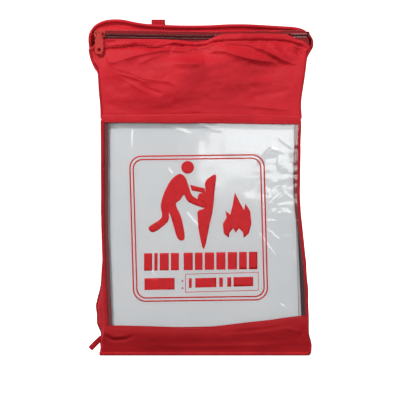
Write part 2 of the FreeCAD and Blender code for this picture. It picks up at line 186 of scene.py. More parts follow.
def cloth(name, P, t, mat, uvscale=1.0):
    """A closed sheet of thickness t below the outer surface P (u x v points, mm)."""
    n, m = P.shape[:2]
    N = grid_normals(P)
    Q = P - N * t
    V = np.concatenate([P.reshape(-1, 3), Q.reshape(-1, 3)])
    idx = np.arange(n * m).reshape(n, m)
    a, b, c, d = idx[:-1, :-1], idx[1:, :-1], idx[1:, 1:], idx[:-1, 1:]
    F = [np.stack([a, b, c, d], -1).reshape(-1, 4), np.stack([d, c, b, a], -1).reshape(-1, 4) + n * m]
    o = n * m
    for line, rev in ((idx[:, 0], False), (idx[:, -1], True), (idx[0, :], True), (idx[-1, :], False)):
        p, q = line[:-1], line[1:]
        f = np.stack([q, p, p + o, q + o], -1)
        F.append(f[:, ::-1] if rev else f)
    L = np.zeros((n, m)); L[1:] = np.cumsum(np.linalg.norm(np.diff(P, axis=0), axis=2), axis=0)
    H = np.zeros((n, m)); H[:, 1:] = np.cumsum(np.linalg.norm(np.diff(P, axis=1), axis=2), axis=1)
    mid = L[:, m // 2][:, None] * np.ones((1, m))
    midh = H[n // 2, :][None, :] * np.ones((n, 1))
    uv = np.stack([mid, midh], -1).reshape(-1, 2) / 1000.0 * uvscale
    return mesh_obj(name, V, np.concatenate(F), mat, np.concatenate([uv, uv]))


def catmull(pts, k=8):
    p = np.asarray(pts, float)
    p = np.concatenate([[2 * p[0] - p[1]], p, [2 * p[-1] - p[-2]]])
    out = []
    for i in range(1, len(p) - 2):
        for s in range(k):
            t = s / k
            out.append(0.5 * ((2 * p[i]) + (-p[i - 1] + p[i + 1]) * t + (2 * p[i - 1] - 5 * p[i] + 4 * p[i + 1] - p[i + 2]) * t * t
                              + (-p[i - 1] + 3 * p[i] - 3 * p[i + 1] + p[i + 2]) * t**3))
    out.append(p[-2])
    return np.array(out)


def tube(name, path, ra, rb, mat, n=12, up=(0, 1, 0), power=1.0, taper=None, jitter=0.0):
    """A tube along a path; ra is its half width across up, rb its half height along up."""
    p = np.asarray(path, float)
    T = np.gradient(p, axis=0)
    T /= np.linalg.norm(T, axis=1, keepdims=True)
    U = np.array(up, float) - T * (T @ np.array(up, float))[:, None]
    U /= np.linalg.norm(U, axis=1, keepdims=True)
    S = np.cross(T, U)
    a = np.linspace(0, 2 * np.pi, n, endpoint=False)
    c = np.sign(np.cos(a)) * np.abs(np.cos(a)) ** power
    s = np.sign(np.sin(a)) * np.abs(np.sin(a)) ** power
    k = np.ones(len(p)) if taper is None else taper
    V = p[:, None, :] + (S[:, None, :] * (c * ra)[None, :, None] + U[:, None, :] * (s * rb)[None, :, None]) * k[:, None, None]
    if jitter:
        V += (np.random.RandomState(len(p)).rand(len(p), n, 3) - 0.5) * jitter
    V = V.reshape(-1, 3)
    F = []
    for i in range(len(p) - 1):
        for j in range(n):
            F.append((i * n + j, i * n + (j + 1) % n, (i + 1) * n + (j + 1) % n, (i + 1) * n + j))
    F.append(tuple(range(n))[::-1])
    F.append(tuple((len(p) - 1) * n + j for j in range(n)))
    L = np.concatenate([[0], np.cumsum(np.linalg.norm(np.diff(p, axis=0), axis=1))])
    uv = np.stack([np.repeat(L, n), np.tile(np.arange(n) / n * (ra + rb) * 3, len(p))], -1) / 1000.0
    return mesh_obj(name, V, F, mat, uv)


def merged(name, tubes, mat, up=(0, 1, 0), n=6):
    """Many short tubes as one mesh: stitches and teeth. tubes: list of (path, ra, rb)."""
    VV, FF, UU, base = [], [], [], 0
    for path, ra, rb in tubes:
        p = np.asarray(path, float)
        T = np.gradient(p, axis=0)
        T /= np.linalg.norm(T, axis=1, keepdims=True)
        U = np.array(up, float) - T * (T @ np.array(up, float))[:, None]
        U /= np.maximum(np.linalg.norm(U, axis=1, keepdims=True), 1e-9)
        S = np.cross(T, U)
        a = np.linspace(0, 2 * np.pi, n, endpoint=False)
        V = p[:, None, :] + S[:, None, :] * (np.cos(a) * ra)[None, :, None] + U[:, None, :] * (np.sin(a) * rb)[None, :, None]
        k = len(p)
        VV.append(V.reshape(-1, 3))
        for i in range(k - 1):
            for j in range(n):
                FF.append((base + i * n + j, base + i * n + (j + 1) % n, base + (i + 1) * n + (j + 1) % n, base + (i + 1) * n + j))
        FF.append(tuple(base + j for j in range(n))[::-1])
        FF.append(tuple(base + (k - 1) * n + j for j in range(n)))
        base += k * n
    return mesh_obj(name, np.concatenate(VV), FF, mat)


def stitches(name, pts, mat, length=2.6, gap=1.1, r=0.24, lift=0.12):
    """A row of thread stitches laid along a surface line (points already on the surface)."""
    p = np.asarray(pts, float)
    L = np.concatenate([[0], np.cumsum(np.linalg.norm(np.diff(p, axis=0), axis=1))])
    rows, s = [], 0.8
    while s + length < L[-1]:
        q = np.linspace(s, s + length, 5)
        a = np.stack([np.interp(q, L, p[:, i]) for i in range(3)], -1)
        a[:, 1] -= lift * np.sin(np.linspace(0, np.pi, 5)) - 0.06
        rows.append((a, r, r))
        s += length + gap
    return merged(name, rows, mat)


# ---------------------------------------------------------------- materials
def node_mat(name):
    m = bpy.data.materials.new(name)
    m.use_nodes = True
    nt = m.node_tree
    b = nt.nodes["Principled BSDF"]
    return m, nt, b


def fabric(name, c0, c1, rough=0.62, weave=1500.0, bump=0.22, sheen=0.25, tint=None, dist=0.0002, vary=28.0, twill=False):
    m, nt, b = node_mat(name)
    tc = nt.nodes.new("ShaderNodeTexCoord")
    mp = nt.nodes.new("ShaderNodeMapping")
    mp.inputs["Scale"].default_value = (weave, weave, weave)
    nt.links.new(tc.outputs["UV"], mp.inputs["Vector"])
    waves = []
    for direction in (("X", "Y") if not twill else ("DIAGONAL", "Y")):
        w = nt.nodes.new("ShaderNodeTexWave")
        w.wave_type = "BANDS"
        w.bands_direction = direction
        w.inputs["Scale"].default_value = 0.5
        w.inputs["Distortion"].default_value = 0.4
        w.inputs["Detail"].default_value = 1.0
        nt.links.new(mp.outputs["Vector"], w.inputs["Vector"])
        waves.append(w)
    mx = nt.nodes.new("ShaderNodeMath")
    mx.operation = "ADD"
    nt.links.new(waves[0].outputs["Fac"], mx.inputs[0])
    nt.links.new(waves[1].outputs["Fac"], mx.inputs[1])
    bp = nt.nodes.new("ShaderNodeBump")
    bp.inputs["Strength"].default_value = bump
    bp.inputs["Distance"].default_value = dist
    nt.links.new(mx.outputs[0], bp.inputs["Height"])
    nt.links.new(bp.outputs["Normal"], b.inputs["Normal"])
    no = nt.nodes.new("ShaderNodeTexNoise")
    no.inputs["Scale"].default_value = vary
    no.inputs["Detail"].default_value = 4.0
    nt.links.new(tc.outputs["Object"], no.inputs["Vector"])
    cr = nt.nodes.new("ShaderNodeValToRGB")
    cr.color_ramp.elements[0].position = 0.35
    cr.color_ramp.elements[0].color = (*c0, 1)
    cr.color_ramp.elements[1].position = 0.68
    cr.color_ramp.elements[1].color = (*c1, 1)
    nt.links.new(no.outputs["Fac"], cr.inputs["Fac"])
    nt.links.new(cr.outputs["Color"], b.inputs["Base Color"])
    b.inputs["Roughness"].default_value = rough
    b.inputs["Sheen Weight"].default_value = sheen
    b.inputs["Sheen Roughness"].default_value = 0.4
    if tint:
        b.inputs["Sheen Tint"].default_value = (*tint, 1)
    b.inputs["Specular IOR Level"].default_value = 0.11
    return m


def speckled(name, c0, c1, rough=0.4, metallic=0.0, scale=180.0, bump=0.08, alpha=1.0, ior=1.5, spec=0.5, coat=0.0):
    m, nt, b = node_mat(name)
    tc = nt.nodes.new("ShaderNodeTexCoord")
    no = nt.nodes.new("ShaderNodeTexNoise")
    no.inputs["Scale"].default_value = scale
    no.inputs["Detail"].default_value = 3.0
    nt.links.new(tc.outputs["Object"], no.inputs["Vector"])
    cr = nt.nodes.new("ShaderNodeValToRGB")
    cr.color_ramp.elements[0].position = 0.3
    cr.color_ramp.elements[0].color = (*c0, 1)
    cr.color_ramp.elements[1].position = 0.7
    cr.color_ramp.elements[1].color = (*c1, 1)
    nt.links.new(no.outputs["Fac"], cr.inputs["Fac"])
    nt.links.new(cr.outputs["Color"], b.inputs["Base Color"])
    if bump:
        bp = nt.nodes.new("ShaderNodeBump")
        bp.inputs["Strength"].default_value = bump
        bp.inputs["Distance"].default_value = 0.0002
        nt.links.new(no.outputs["Fac"], bp.inputs["Height"])
        nt.links.new(bp.outputs["Normal"], b.inputs["Normal"])
    b.inputs["Roughness"].default_value = rough
    b.inputs["Metallic"].default_value = metallic
    b.inputs["IOR"].default_value = ior
    b.inputs["Specular IOR Level"].default_value = spec
    b.inputs["Coat Weight"].default_value = coat
    b.inputs["Alpha"].default_value = alpha
    return m


RED = fabric("red_nylon", (0.450, 0.0105, 0.0180), (0.530, 0.0150, 0.0240), rough=0.46, sheen=0.05, tint=(1.0, 0.2, 0.2))
# the same red nylon made darker: painted shade for the lower band that curves under and for the bottom gusset
# underneath
RED_SHADED = fabric("red_nylon_band_painted_shade", (0.290, 0.0052, 0.0088), (0.345, 0.0075, 0.0120), rough=0.6, sheen=0.02, tint=(1.0, 0.25, 0.25))
RED_TAPE = fabric("red_binding", (0.400, 0.0100, 0.0150), (0.500, 0.0150, 0.0210), rough=0.7, weave=2600.0, bump=0.5, sheen=0.05, tint=(1.0, 0.3, 0.3))
# a dark maroon copy of the red nylon: painted shade for the shadowed gap behind the film's side edges
RED_INNER_SHADE = fabric("red_inner_painted_shade", (0.190, 0.0070, 0.0110), (0.240, 0.0100, 0.0150), rough=0.75, sheen=0.05)
# zip tape red kept darker than the nylon: painted shade for the recess under the top roll and along the chain
ZIP_TAPE_SHADED = fabric("zip_tape_red_painted_shade", (0.210, 0.0060, 0.0090), (0.270, 0.0090, 0.0130), rough=0.75, weave=3200.0, bump=0.6, sheen=0.2)
THREAD = speckled("red_thread", (0.520, 0.030, 0.036), (0.62, 0.045, 0.05), rough=0.6, scale=900.0)
GLASS_CLOTH = fabric("white_glass_cloth", (0.815, 0.845, 0.866), (0.862, 0.886, 0.902), rough=0.5, weave=1100.0, bump=0.35, sheen=0.15, vary=16.0, twill=True)
BLACK_TAPE = fabric("black_tape", (0.014, 0.014, 0.016), (0.024, 0.024, 0.027), rough=0.7, weave=2400.0, bump=0.6, sheen=0.2)
COIL = speckled("zip_coil_dark", (0.085, 0.0045, 0.0070), (0.120, 0.0070, 0.0100), rough=0.5, scale=700.0, spec=0.15)
CORD = speckled("zip_cord", (0.36, 0.20, 0.20), (0.46, 0.27, 0.26), rough=0.6, scale=700.0)
ENAMEL = speckled("red_enamel", (0.400, 0.012, 0.008), (0.460, 0.017, 0.011), rough=0.3, scale=260.0, coat=0.4)
STEEL = speckled("stop_metal", (0.50, 0.50, 0.52), (0.62, 0.62, 0.64), rough=0.35, metallic=1.0, scale=400.0)
INK = speckled("red_ink", (0.470, 0.0090, 0.0130), (0.540, 0.0120, 0.0170), spec=0.2, rough=0.5, scale=120.0, bump=0.03)
FILM = speckled("clear_film", (0.11, 0.12, 0.13), (0.15, 0.16, 0.17), rough=0.10, scale=60.0, bump=0.0, alpha=0.12, ior=2.3, spec=0.85, coat=1.0)

# ---------------------------------------------------------------- outline tables (mm)
XL = curve([(344, -104.6), (340.4, -108.6), (336, -112.4), (331, -114.2), (326, -114.7), (320, -114.6), (311, -113.6), (303, -111.2), (297, -107.8), (290.5, -104.8), (275, -103.6),
            (258, -102.4), (240, -101.6), (212, -100.8), (192, -100.4), (171, -101.2), (150, -101.4), (130, -99.8), (120, -100.2), (99, -102.0),
            (79, -102.8), (68, -104.4), (58, -106.6), (48, -108.6), (37, -107.6), (31, -107.6), (25, -105.4), (19, -103.4), (14, -104.6), (6, -104.0), (0, -103.0)])
XR = curve([(340, 104.4), (336.6, 110.4), (332, 115.4), (327.6, 117.6), (323.6, 117.9), (319, 116.8), (313, 113.4), (309, 111.4), (303, 110.2), (295, 109.2), (283, 107.6), (266, 104.8),
            (250, 102.6), (240, 102.6), (212, 102.4), (192, 102.6), (171, 103.0), (150, 103.6), (140, 104.0), (130, 104.8), (120, 106.8), (110, 107.8),
            (99, 108.8), (89, 109.8), (79, 110.8), (58, 112.8), (48, 112.8), (37, 111.2), (31, 109.6), (25, 111.8), (14, 115.4), (6, 115.6), (0, 114.0)])
XFL = curve([(244, -99.2), (190, -98.8), (140, -98.9), (110, -98.2), (80, -97.2), (50, -95.8), (31, -95.4), (20, -97.6), (0, -100.6)])
XFR = curve([(244, 102.6), (214, 102.0), (171, 101.4), (150, 102.2), (125, 105.0), (98, 107.6), (70, 109.8), (41, 110.8), (25, 111.0), (10, 113.8), (0, 113.0)])
LEAN = (-6.0 - 0.5 + 15.3) / (318.4 - 245.8)


def back_y(z):
    return 15.2 + (9.6 - 15.2) * np.clip((np.asarray(z, float) - 200) / 142.6, 0, 1)


def lip_y(z):
    return -15.3 + LEAN * (np.asarray(z, float) - 245.8)


TOP = curve([(-114.4, 330), (-112.6, 336.4), (-109.6, 340.8), (-104.6, 344.4), (-98, 346.6), (-90, 347.4), (-82, 347.2), (-75.7, 346.2), (-69.5, 344.8), (-60, 343.3), (-50, 342.4), (-29, 341.4),
             (-10, 341.0), (10, 341.3), (30, 342.2), (50, 342.2), (66, 341.4), (85, 340.4), (97, 339.6), (104, 338.2), (110, 335.6), (114.4, 331.6), (117, 326)])

# ---------------------------------------------------------------- back panel
nu, nv = 150, 230
u = np.linspace(0, 1, nu)[:, None]
v = np.linspace(0, 1, nv)[None, :]
zz = 1.0 + v * 339.5 * np.ones((nu, 1))
xl, xr = XL(zz) + 1.6, XR(zz) - 1.6
X = xr + (xl - xr) * u
ztop = TOP(X) - 1.0
zz = 1.0 + v * (ztop - 1.0)
xl, xr = XL(zz) + 1.6, XR(zz) - 1.6
X = xr + (xl - xr) * u
edge_fade = np.clip(np.minimum(X - xl, xr - X) / 14.0, 0, 1)
Y = back_y(zz) + edge_fade * (1.1 * vn(X, zz, 46, 38, 3) + 0.7 * vn(X, zz, 17, 22, 4) + 0.22 * vn(X, zz, 7, 9, 5)) * smooth(zz / 30)
Y += edge_fade * (crease(X, zz, [(-90, 322), (-40, 300), (10, 306)], 5, 1.3) + crease(X, zz, [(98, 318), (60, 296), (10, 292)], 5, 1.2)
                  - crease(X, zz, [(-86, 306), (-46, 284), (0, 288)], 4, 0.9) + crease(X, zz, [(-70, 40), (-20, 22), (40, 28)], 6, 0.8)
                  + crease(X, zz, [(70, 262), (30, 250), (-20, 256)], 5, 0.8) - crease(X, zz, [(-60, 268), (-10, 262), (40, 270)], 5, 0.7))
Y -= edge_fade * (swag(X, zz, [(-92, 300), (-52, 276), (-8, 266), (34, 272)], 5, 2.4, 1.7) + swag(X, zz, [(-20, 318), (24, 306), (70, 304), (98, 312)], 5, 2.4, 1.9)
                  + swag(X, zz, [(-96, 66), (-60, 44), (-24, 38)], 5, 2.6, 1.5) + swag(X, zz, [(20, 60), (62, 46), (98, 62)], 5, 2.6, 1.5)
                  + swag(X, zz, [(-70, 190), (-30, 180), (20, 186)], 7, 4, 0.9) + swag(X, zz, [(10, 142), (50, 130), (92, 136)], 7, 4, 0.9))
Y += 1.1 * edge_fade * smooth((zz - 4) / 40) * smooth((262 - zz) / 30)
back = cloth("back_cloth", np.stack([X, Y, zz], -1), 0.6, RED)
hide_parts("back_panel")
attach(back, "pouch")

# ---------------------------------------------------------------- side gussets


def gusset(name, side, z0, z1, nz, nodes):
    t = np.linspace(0, 1, 34)[:, None]
    z = np.linspace(z0, z1, nz)[None, :]
    T, Z = t * np.ones_like(z), z * np.ones_like(t)
    hi = smooth((Z - 232) / 22)
    xf_low = (XFL(Z) - 0.5) if side < 0 else (XFR(Z) + 0.5)
    xf_hi = (XL(Z) + 1.4) if side < 0 else (XR(Z) - 1.4)
    xf = xf_low * (1 - hi) + xf_hi * hi
    xb = (XL(Z) + 1.5) if side < 0 else (XR(Z) - 1.5)
    yf = (-14.3 * (1 - hi) + (lip_y(Z) + 1.2) * hi)
    yb = back_y(Z) - 0.9
    Yg = yf + (yb - yf) * T
    pleat = 2.6 * smooth((Z - 250) / 40) * np.sin(np.pi * T) ** 2 * (smooth((322 - Z) / 16) if side > 0 else 1.0)
    puff = np.where(Z < 120, 1.2, 0.2) * smooth(Z / 20) * np.sin(np.pi * T)
    wr = 0.35 * vn(Yg * 2, Z, 9, 12, 11 + (side > 0)) * np.sin(np.pi * T)
    Xg = xf + (xb - xf) * smooth(T) - side * pleat + side * (puff + wr)
    P = np.stack([Xg, Yg, Z], -1)
    if side > 0:
        P = P.copy()
    else:
        P = P[::-1]
    o = cloth(name, P, 0.6, RED_SHADED if False else RED)
    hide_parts(*nodes)
    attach(o, "pouch")
    return o


gusset("side_cloth_left", -1, 1.0, 333.0, 220, ["side_gusset_left", "side_pleat_left", "upper_gusset_left"])
gusset("side_cloth_right", 1, 1.0, 330.0, 220, ["side_gusset_right", "side_pleat_right", "upper_gusset_right"])

# bottom gusset: nearly flat, a little crumpled
t = np.linspace(0, 1, 120)[:, None]
s = np.linspace(-14.9, 14.9, 24)[None, :]
X = -103.2 + t * 216.0 + 0 * s
Yb = s + 0 * t
Z = 0.75 + 0.0 * X - 0.0 + 0.2 * vn(X, Yb, 14, 9, 21) * np.cos(np.pi * Yb / 32)
P = np.stack([X, Yb, 0.9 - np.abs(Z - 0.75)], -1)
# the darker red nylon here is painted shade for the underside
bottom = cloth("bottom_cloth", P, 0.6, RED_SHADED)
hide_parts("bottom_gusset")
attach(bottom, "pouch")


# ---------------------------------------------------------------- window film
def film_y(x, z):
    y = -14.9 + 0.16 * vn(x, z, 38, 44, 31) + 0.06 * vn(x, z, 11, 14, 32)
    k = smooth((x - 36) / 56)
    y = y - 0.22 * k * np.abs(vn(x, z, 13, 9, 33)) - 0.13 * k * np.abs(vn(x, z, 6, 8, 34))
    lines = [([(-70, 236), (-71.5, 212)], 1.2, 0.34), ([(-38, 236), (-12, 231)], 2.0, 0.4), ([(2, 236), (24, 232)], 1.6, 0.4),
             ([(58, 196), (74, 214), (86, 210)], 1.6, 0.40), ([(70, 176), (92, 184)], 1.5, 0.42), ([(66, 150), (88, 168), (98, 160)], 1.5, 0.34),
             ([(97, 112), (98.5, 86), (97, 60)], 1.5, 0.55), ([(93, 100), (94.5, 70)], 1.2, 0.35), ([(60, 128), (80, 100)], 1.4, 0.40),
             ([(68, 132), (84, 118)], 1.2, 0.32), ([(-36, 196), (-28, 186), (-10, 190)], 2.2, 0.30), ([(-58, 96), (-40, 76)], 1.4, 0.24),
             ([(-84, 60), (-74, 44)], 1.6, 0.30), ([(-86, 200), (-60, 206)], 1.8, 0.2), ([(4, 126), (-16, 150)], 1.8, 0.22),
             ([(76, 58), (96, 44)], 1.5, 0.30), ([(80, 226), (96, 214)], 1.4, 0.34)]
    for pts, w, a in lines:
        y = y - crease(x, z, pts, w, a)
    return y


nu, nv = 250, 250
u = np.linspace(0, 1, nu)[:, None]
v = np.linspace(0, 1, nv)[None, :]
zz = 27.0 + v * 215.4 + 0 * u
X = XFL(zz) + (XFR(zz) - XFL(zz)) * u
film = cloth("window_film_sheet", np.stack([X, film_y(X, zz), zz], -1), 0.16, FILM)
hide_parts("window_film")
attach(film, "pouch")
# strips behind the film along both side edges: a real seam allowance shape, coloured dark maroon as painted shade for
# the shadowed gap between binding and blanket
for name, sd in (("seam_allowance_shade_left", -1), ("seam_allowance_shade_right", 1)):
    u_ = np.linspace(0, 1, 10)[:, None]
    z_ = np.linspace(6.0, 244.0, 150)[None, :]
    e_ = XFL(z_) + 0.4 if sd < 0 else XFR(z_) - 0.4
    wd_ = (4.3 if sd < 0 else 1.5 + 2.8 * smooth((z_ - 90.0) / 90.0)) + 0.35 * vn(z_, 0 * z_, 16, 5, 51 + sd)
    X_ = (e_ if sd < 0 else e_ - wd_) + wd_ * u_
    Z_ = z_ + 0 * u_
    Y_ = -14.15 + 0.12 * vn(X_, Z_, 9, 12, 53 + sd)
    o_ = cloth(name, np.stack([X_, Y_, Z_], -1), 0.35, RED_INNER_SHADE)
    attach(o_, "pouch")

# ---------------------------------------------------------------- lower band
BAND = curve([(-101, 31.6), (-60, 31.0), (-20, 29.9), (10, 30.4), (30, 32.4), (48, 34.6), (70, 37.0), (90, 39.8), (104, 41.4), (113, 42.0)])
nu, nv = 220, 60
u = np.linspace(0, 1, nu)[:, None]
v = np.linspace(0, 1, nv)[None, :]
X = -101.0 + 214.0 * u + 0 * v
ztop = BAND(X)
zz = 0.9 + v * (ztop - 0.9)
X = (XFL(zz) - 1.4) + (XFR(zz) + 1.4 - XFL(zz) + 1.4) * u
zz = 0.9 + v * (BAND(X) - 0.9)
puffy = np.sin(np.pi * np.clip(zz / 33, 0, 1)) ** 0.8
rel = np.clip(zz / BAND(X), 0, 1)
Y = -15.5 - 2.9 * np.sin(np.pi * rel ** 2.0) ** 1.1 - 0.5 * vn(X, zz, 30, 14, 41) * puffy - 0.2 * vn(X, zz, 9, 6, 42) * puffy
Y += crease(X, zz, [(-99, 22), (-90, 16.5), (-76, 17.5), (-66, 21.5)], 1.8, 1.3)
Y -= crease(X, zz, [(-98, 25), (-88, 20.0), (-72, 21.5)], 2.2, 0.9)
Y -= crease(X, zz, [(-60, 12), (-10, 9.5), (60, 11), (108, 15)], 2.6, 0.7)
Y += crease(X, zz, [(20, 24), (60, 27), (100, 33)], 2.2, 0.8) - crease(X, zz, [(80, 31), (106, 25)], 2.0, 0.7)
Y += crease(X, zz, [(108, 30), (104, 20), (109, 10)], 2.0, 0.7)
# the band's darker red is painted shade; its curl under the bottom also gets real shading from the lamps
band = cloth("band_cloth", np.stack([X, Y, zz], -1), 0.5, RED_SHADED)
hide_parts("lower_band")
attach(band, "pouch")
zt = BAND(np.linspace(-97, 109, 160)) - 1.6
xs = np.linspace(-97, 109, 160)
st = stitches("stitch_band", np.stack([xs, -15.95 - 0 * xs, zt], -1), THREAD)
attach(st, "pouch")

# ---------------------------------------------------------------- window hem strip
HZ0 = curve([(-102, 240.4), (-60, 240.3), (-20, 239.7), (0, 239.9), (50, 239.2), (80, 238.9), (104, 238.6)])
HZ1 = curve([(-102, 248.6), (-60, 248.9), (0, 249.8), (50, 249.6), (104, 248.0)])
nu, nv = 220, 26
u = np.linspace(0, 1, nu)[:, None]
v = np.linspace(0, 1, nv)[None, :]
X = -101.0 + u * 205.2 + 0 * v
zz = HZ0(X) + (HZ1(X) - HZ0(X)) * v
Y = -15.75 - 0.75 * np.sin(np.pi * v) ** 0.6 - 0.16 * vn(X, zz, 15, 5, 51)
hem = cloth("hem_cloth", np.stack([X, Y, zz], -1), 0.9, RED)
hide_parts("window_hem")
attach(hem, "pouch")
xs = np.linspace(-99, 102, 160)
for i, f in enumerate((0.16, 0.86)):
    st = stitches(f"stitch_hem_{i}", np.stack([xs, -16.30 - 0 * xs, HZ0(xs) + (HZ1(xs) - HZ0(xs)) * f], -1), THREAD)
    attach(st, "pouch")

# ---------------------------------------------------------------- front lip with its fold over the zip
FT = curve([(-114, 318), (-108, 322.5), (-103, 325.4), (-97, 327.2), (-60, 327.6), (-50, 327.6), (-20, 326.2), (-4.6, 324.8), (7.7, 326.4), (14, 329.2), (20, 331.4), (28.3, 333.0),
            (60, 333.4), (88, 332.6), (95, 330.6), (101, 327.2), (106.6, 325.6), (110, 323.6), (114.4, 320)])
FS = curve([(-114, 314), (-102.7, 316.4), (-82.2, 318.0), (-67.4, 319.0), (-46.1, 317.8), (-25.6, 321.4), (-19.0, 320.1), (0.5, 319.8), (16.7, 323.6), (29.9, 325.0), (69.3, 325.3),
            (85.7, 324.6), (102.1, 321.3), (114, 316)])
FY = curve([(-114, -7.0), (-97, -5.6), (90, -5.6), (101, -5.8), (114, -7.4)])


def blend_lip(o):
    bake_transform(o)
    return o


def lip_surface(nu, nv, lift=0.0):
    """Rows of the lip from its hinge seam up, over the fold and down behind to the zip tape."""
    u = np.linspace(0, 1, nu)[:, None]
    a = np.linspace(0, 1, nv)[None, :]
    cut = 0.80
    f = np.clip(a / cut, 0, 1)
    z = 245.2 + f * (316.0 - 245.2) + 0 * u
    xl, xr = XL(z) + 0.7, XR(z) - 0.7
    lowk = 1 - smooth((z - 244) / 30)
    xl = xl * (1 - lowk) + (-100.6) * lowk
    xr = xr * (1 - lowk) + 103.9 * lowk
    X = xl + (xr - xl) * u
    zt, yt = FT(X), FY(X)
    z = 245.2 + f * (zt - 1.7 - 245.2)
    base = lip_y(245.2 + f * (316.0 - 245.2))
    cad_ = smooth((f - 0.70) / 0.30)
    y = base * (1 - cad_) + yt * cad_
    # swags and wrinkles
    ef = np.clip(np.minimum(X - xl, xr - X) / 9.0, 0, 1)
    top = np.clip((zt - 1.7 - z) / 2.0, 0, 1)
    low = smooth((z - 246.0) / 6.0)
    left = smooth((X + 100.0) / 8.0)
    h = -2.2 * np.sin(np.pi * np.clip((X + 104) / 212, 0, 1)) ** 0.8 * np.sin(np.pi * np.clip(f, 0, 1)) ** 0.8
    zs = FS(X)
    h = h + 2.1 * np.exp(-((z - zs) / 1.4) ** 2)
    h = h - 0.7 * np.sin(np.pi * np.clip((z - zs) / np.maximum(zt - zs, 1), 0, 1))
    h -= left * swag(X, z, [(-98, 306.5), (-92, 303.4), (-84, 301.8)], 4, 1.6, 1.4)
    h -= left * swag(X, z, [(-92.9, 301.6), (-74.8, 307.0), (-57.6, 311.5), (-42.0, 314.6), (-29.7, 316.8), (-19.0, 315.0), (-6, 313.4)], 4.6, 2.0, 3.7)
    h -= swag(X, z, [(-64, 300.4), (-50.2, 306.6), (-37.9, 311.0)], 3.2, 1.8, 1.6)
    h -= swag(X, z, [(-34, 306.5), (-22, 302.0), (-8, 301.2), (6, 303.6)], 7.0, 3.2, 2.8)
    h -= swag(X, z, [(3.0, 310.3), (15.9, 314.4), (26.6, 314.0), (36.5, 310.6), (46.3, 307.6), (57.8, 305.0), (77.9, 302.7)], 5.4, 2.1, 4.2)
    h -= swag(X, z, [(44.9, 323.0), (57.8, 318.4), (69.3, 314.6), (78.3, 309.6), (86.5, 304.9), (95.6, 301.6), (104.0, 301.4)], 3.2, 1.8, 3.5)
    h -= swag(X, z, [(69.8, 324.4), (76.7, 319.5), (82.4, 313.1), (92.3, 306.4)], 2.2, 1.4, 2.3)
    h -= swag(X, z, [(86.8, 319.6), (96.4, 314.6), (103, 311)], 2.2, 1.6, 1.6)
    h -= swag(X, z, [(93.6, 321.0), (106.2, 316.2)], 1.8, 1.3, 1.2)
    h += crease(X, z, [(97.5, 317.4), (104, 311), (110.3, 304.7)], 2.4, 1.8)
    h += crease(X, z, [(22.1, 321.3), (41.4, 318.9), (54.9, 318.6)], 2.0, 1.4)
    h += crease(X, z, [(49.2, 317.6), (61.1, 312.6), (73.4, 307.6), (87.7, 300.6)], 2.2, 1.4)
    h -= swag(X, z, [(-88.8, 296.7), (-78.9, 294.2), (-65.8, 290.9)], 3.0, 1.6, 1.0)
    h -= swag(X, z, [(-87.6, 292.0), (-67.0, 286.4), (-52.0, 279.9)], 2.2, 1.3, 1.25)
    h -= swag(X, z, [(-74.6, 292.9), (-55.9, 285.5), (-33.5, 282.2)], 2.4, 1.4, 1.15)
    h += crease(X, z, [(-63.5, 280.0), (-50.3, 273.9), (-37.2, 269.8)], 1.6, 1.1)
    h -= swag(X, z, [(-83.8, 288.4), (-65.2, 277.2), (-46.5, 267.0)], 1.8, 1.2, 0.9)
    h -= swag(X, z, [(-37.5, 284.4), (-22.4, 278.2)], 2.0, 1.2, 0.9)
    h -= swag(X, z, [(36.7, 258.8), (66.5, 255.9), (101.8, 252.7)], 3.2, 1.6, 1.2)
    h += crease(X, z, [(47.8, 267.9), (72.0, 269.8), (96.3, 275.3)], 3.0, 0.9)
    h -= swag(X, z, [(10, 285.0), (40, 281.0), (74, 283.4), (98, 290.0)], 9.0, 5.0, 1.4)
    body = smooth((z - 246) / 30) * smooth((312 - z) / 14)
    d1 = X + 43 - (z - 252) * 0.75
    d2 = X - 46 - (z - 252) * 0.65
    h += 5.6 * body * (0.8 * np.exp(-(d2 / 26) ** 2) - np.exp(-(np.where(d1 < 0, d1 / 46, d1 / 24)) ** 2))
    h -= swag(X, z, [(-103, 299.5), (-80, 303), (-55, 309), (-30, 312)], 9.0, 15.0, 2.2) * left
    h += (0.9 * vn(X, z, 8, 3.4, 65) + 0.5 * vn(X, z, 4, 2.2, 66)) * smooth((z - 311) / 6) * (1 - 0.6 * smooth((X - 10) / 20))
    h += 0.8 * vn(X, z, 27, 17, 61) + 0.42 * vn(X, z, 10, 6, 62) + 0.12 * vn(X, z, 3.6, 3.2, 64)
    y = y + h * ef * low * np.clip(top + 0.25, 0, 1)
    y = np.where(X < -97.0, np.maximum(y, base - 0.5), y)
    # the fold: a roll over the top and a return that ends in the zip tape
    g = np.clip((a - cut) / (1 - cut), 0, 1)
    r = 1.15
    arc = np.clip(g / 0.5, 0, 1) * np.pi
    yr = y + 0 * g
    zr = z + 0 * g
    on = g > 0
    y_end = yt
    yr = np.where(on, y_end + r - r * np.cos(arc), yr)
    zr = np.where(on, zt - 1.7 + r * 1.3 * np.sin(arc), zr)
    back_g = np.clip((g - 0.5) / 0.5, 0, 1)
    zr = np.where(g > 0.5, zt - 1.7 - back_g * 2.6, zr)
    yr = np.where(g > 0.5, (y_end + 2 * r) + 0.25 * back_g, yr)
    yr = yr - 0.25 * vn(X, zr, 12, 6, 63) * smooth((a - 0.7) / 0.1) * (g < 0.5)
    return np.stack([X + 0 * a, yr, zr], -1)


lip = cloth("lip_cloth", lip_surface(300, 190), 0.55, RED)
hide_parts("front_lip", "lip_top_fold", "top_gusset_front")
blend_lip(lip)
Pl = lip_surface(300, 190)
row = Pl[8:-8, 139]
st = stitches("stitch_lip", row + np.array([0, -0.28, 0]), THREAD)
blend_lip(st)

# ---------------------------------------------------------------- zip
BETA = math.radians(59.07257559971695)
S0 = (-6.0, 318.4)


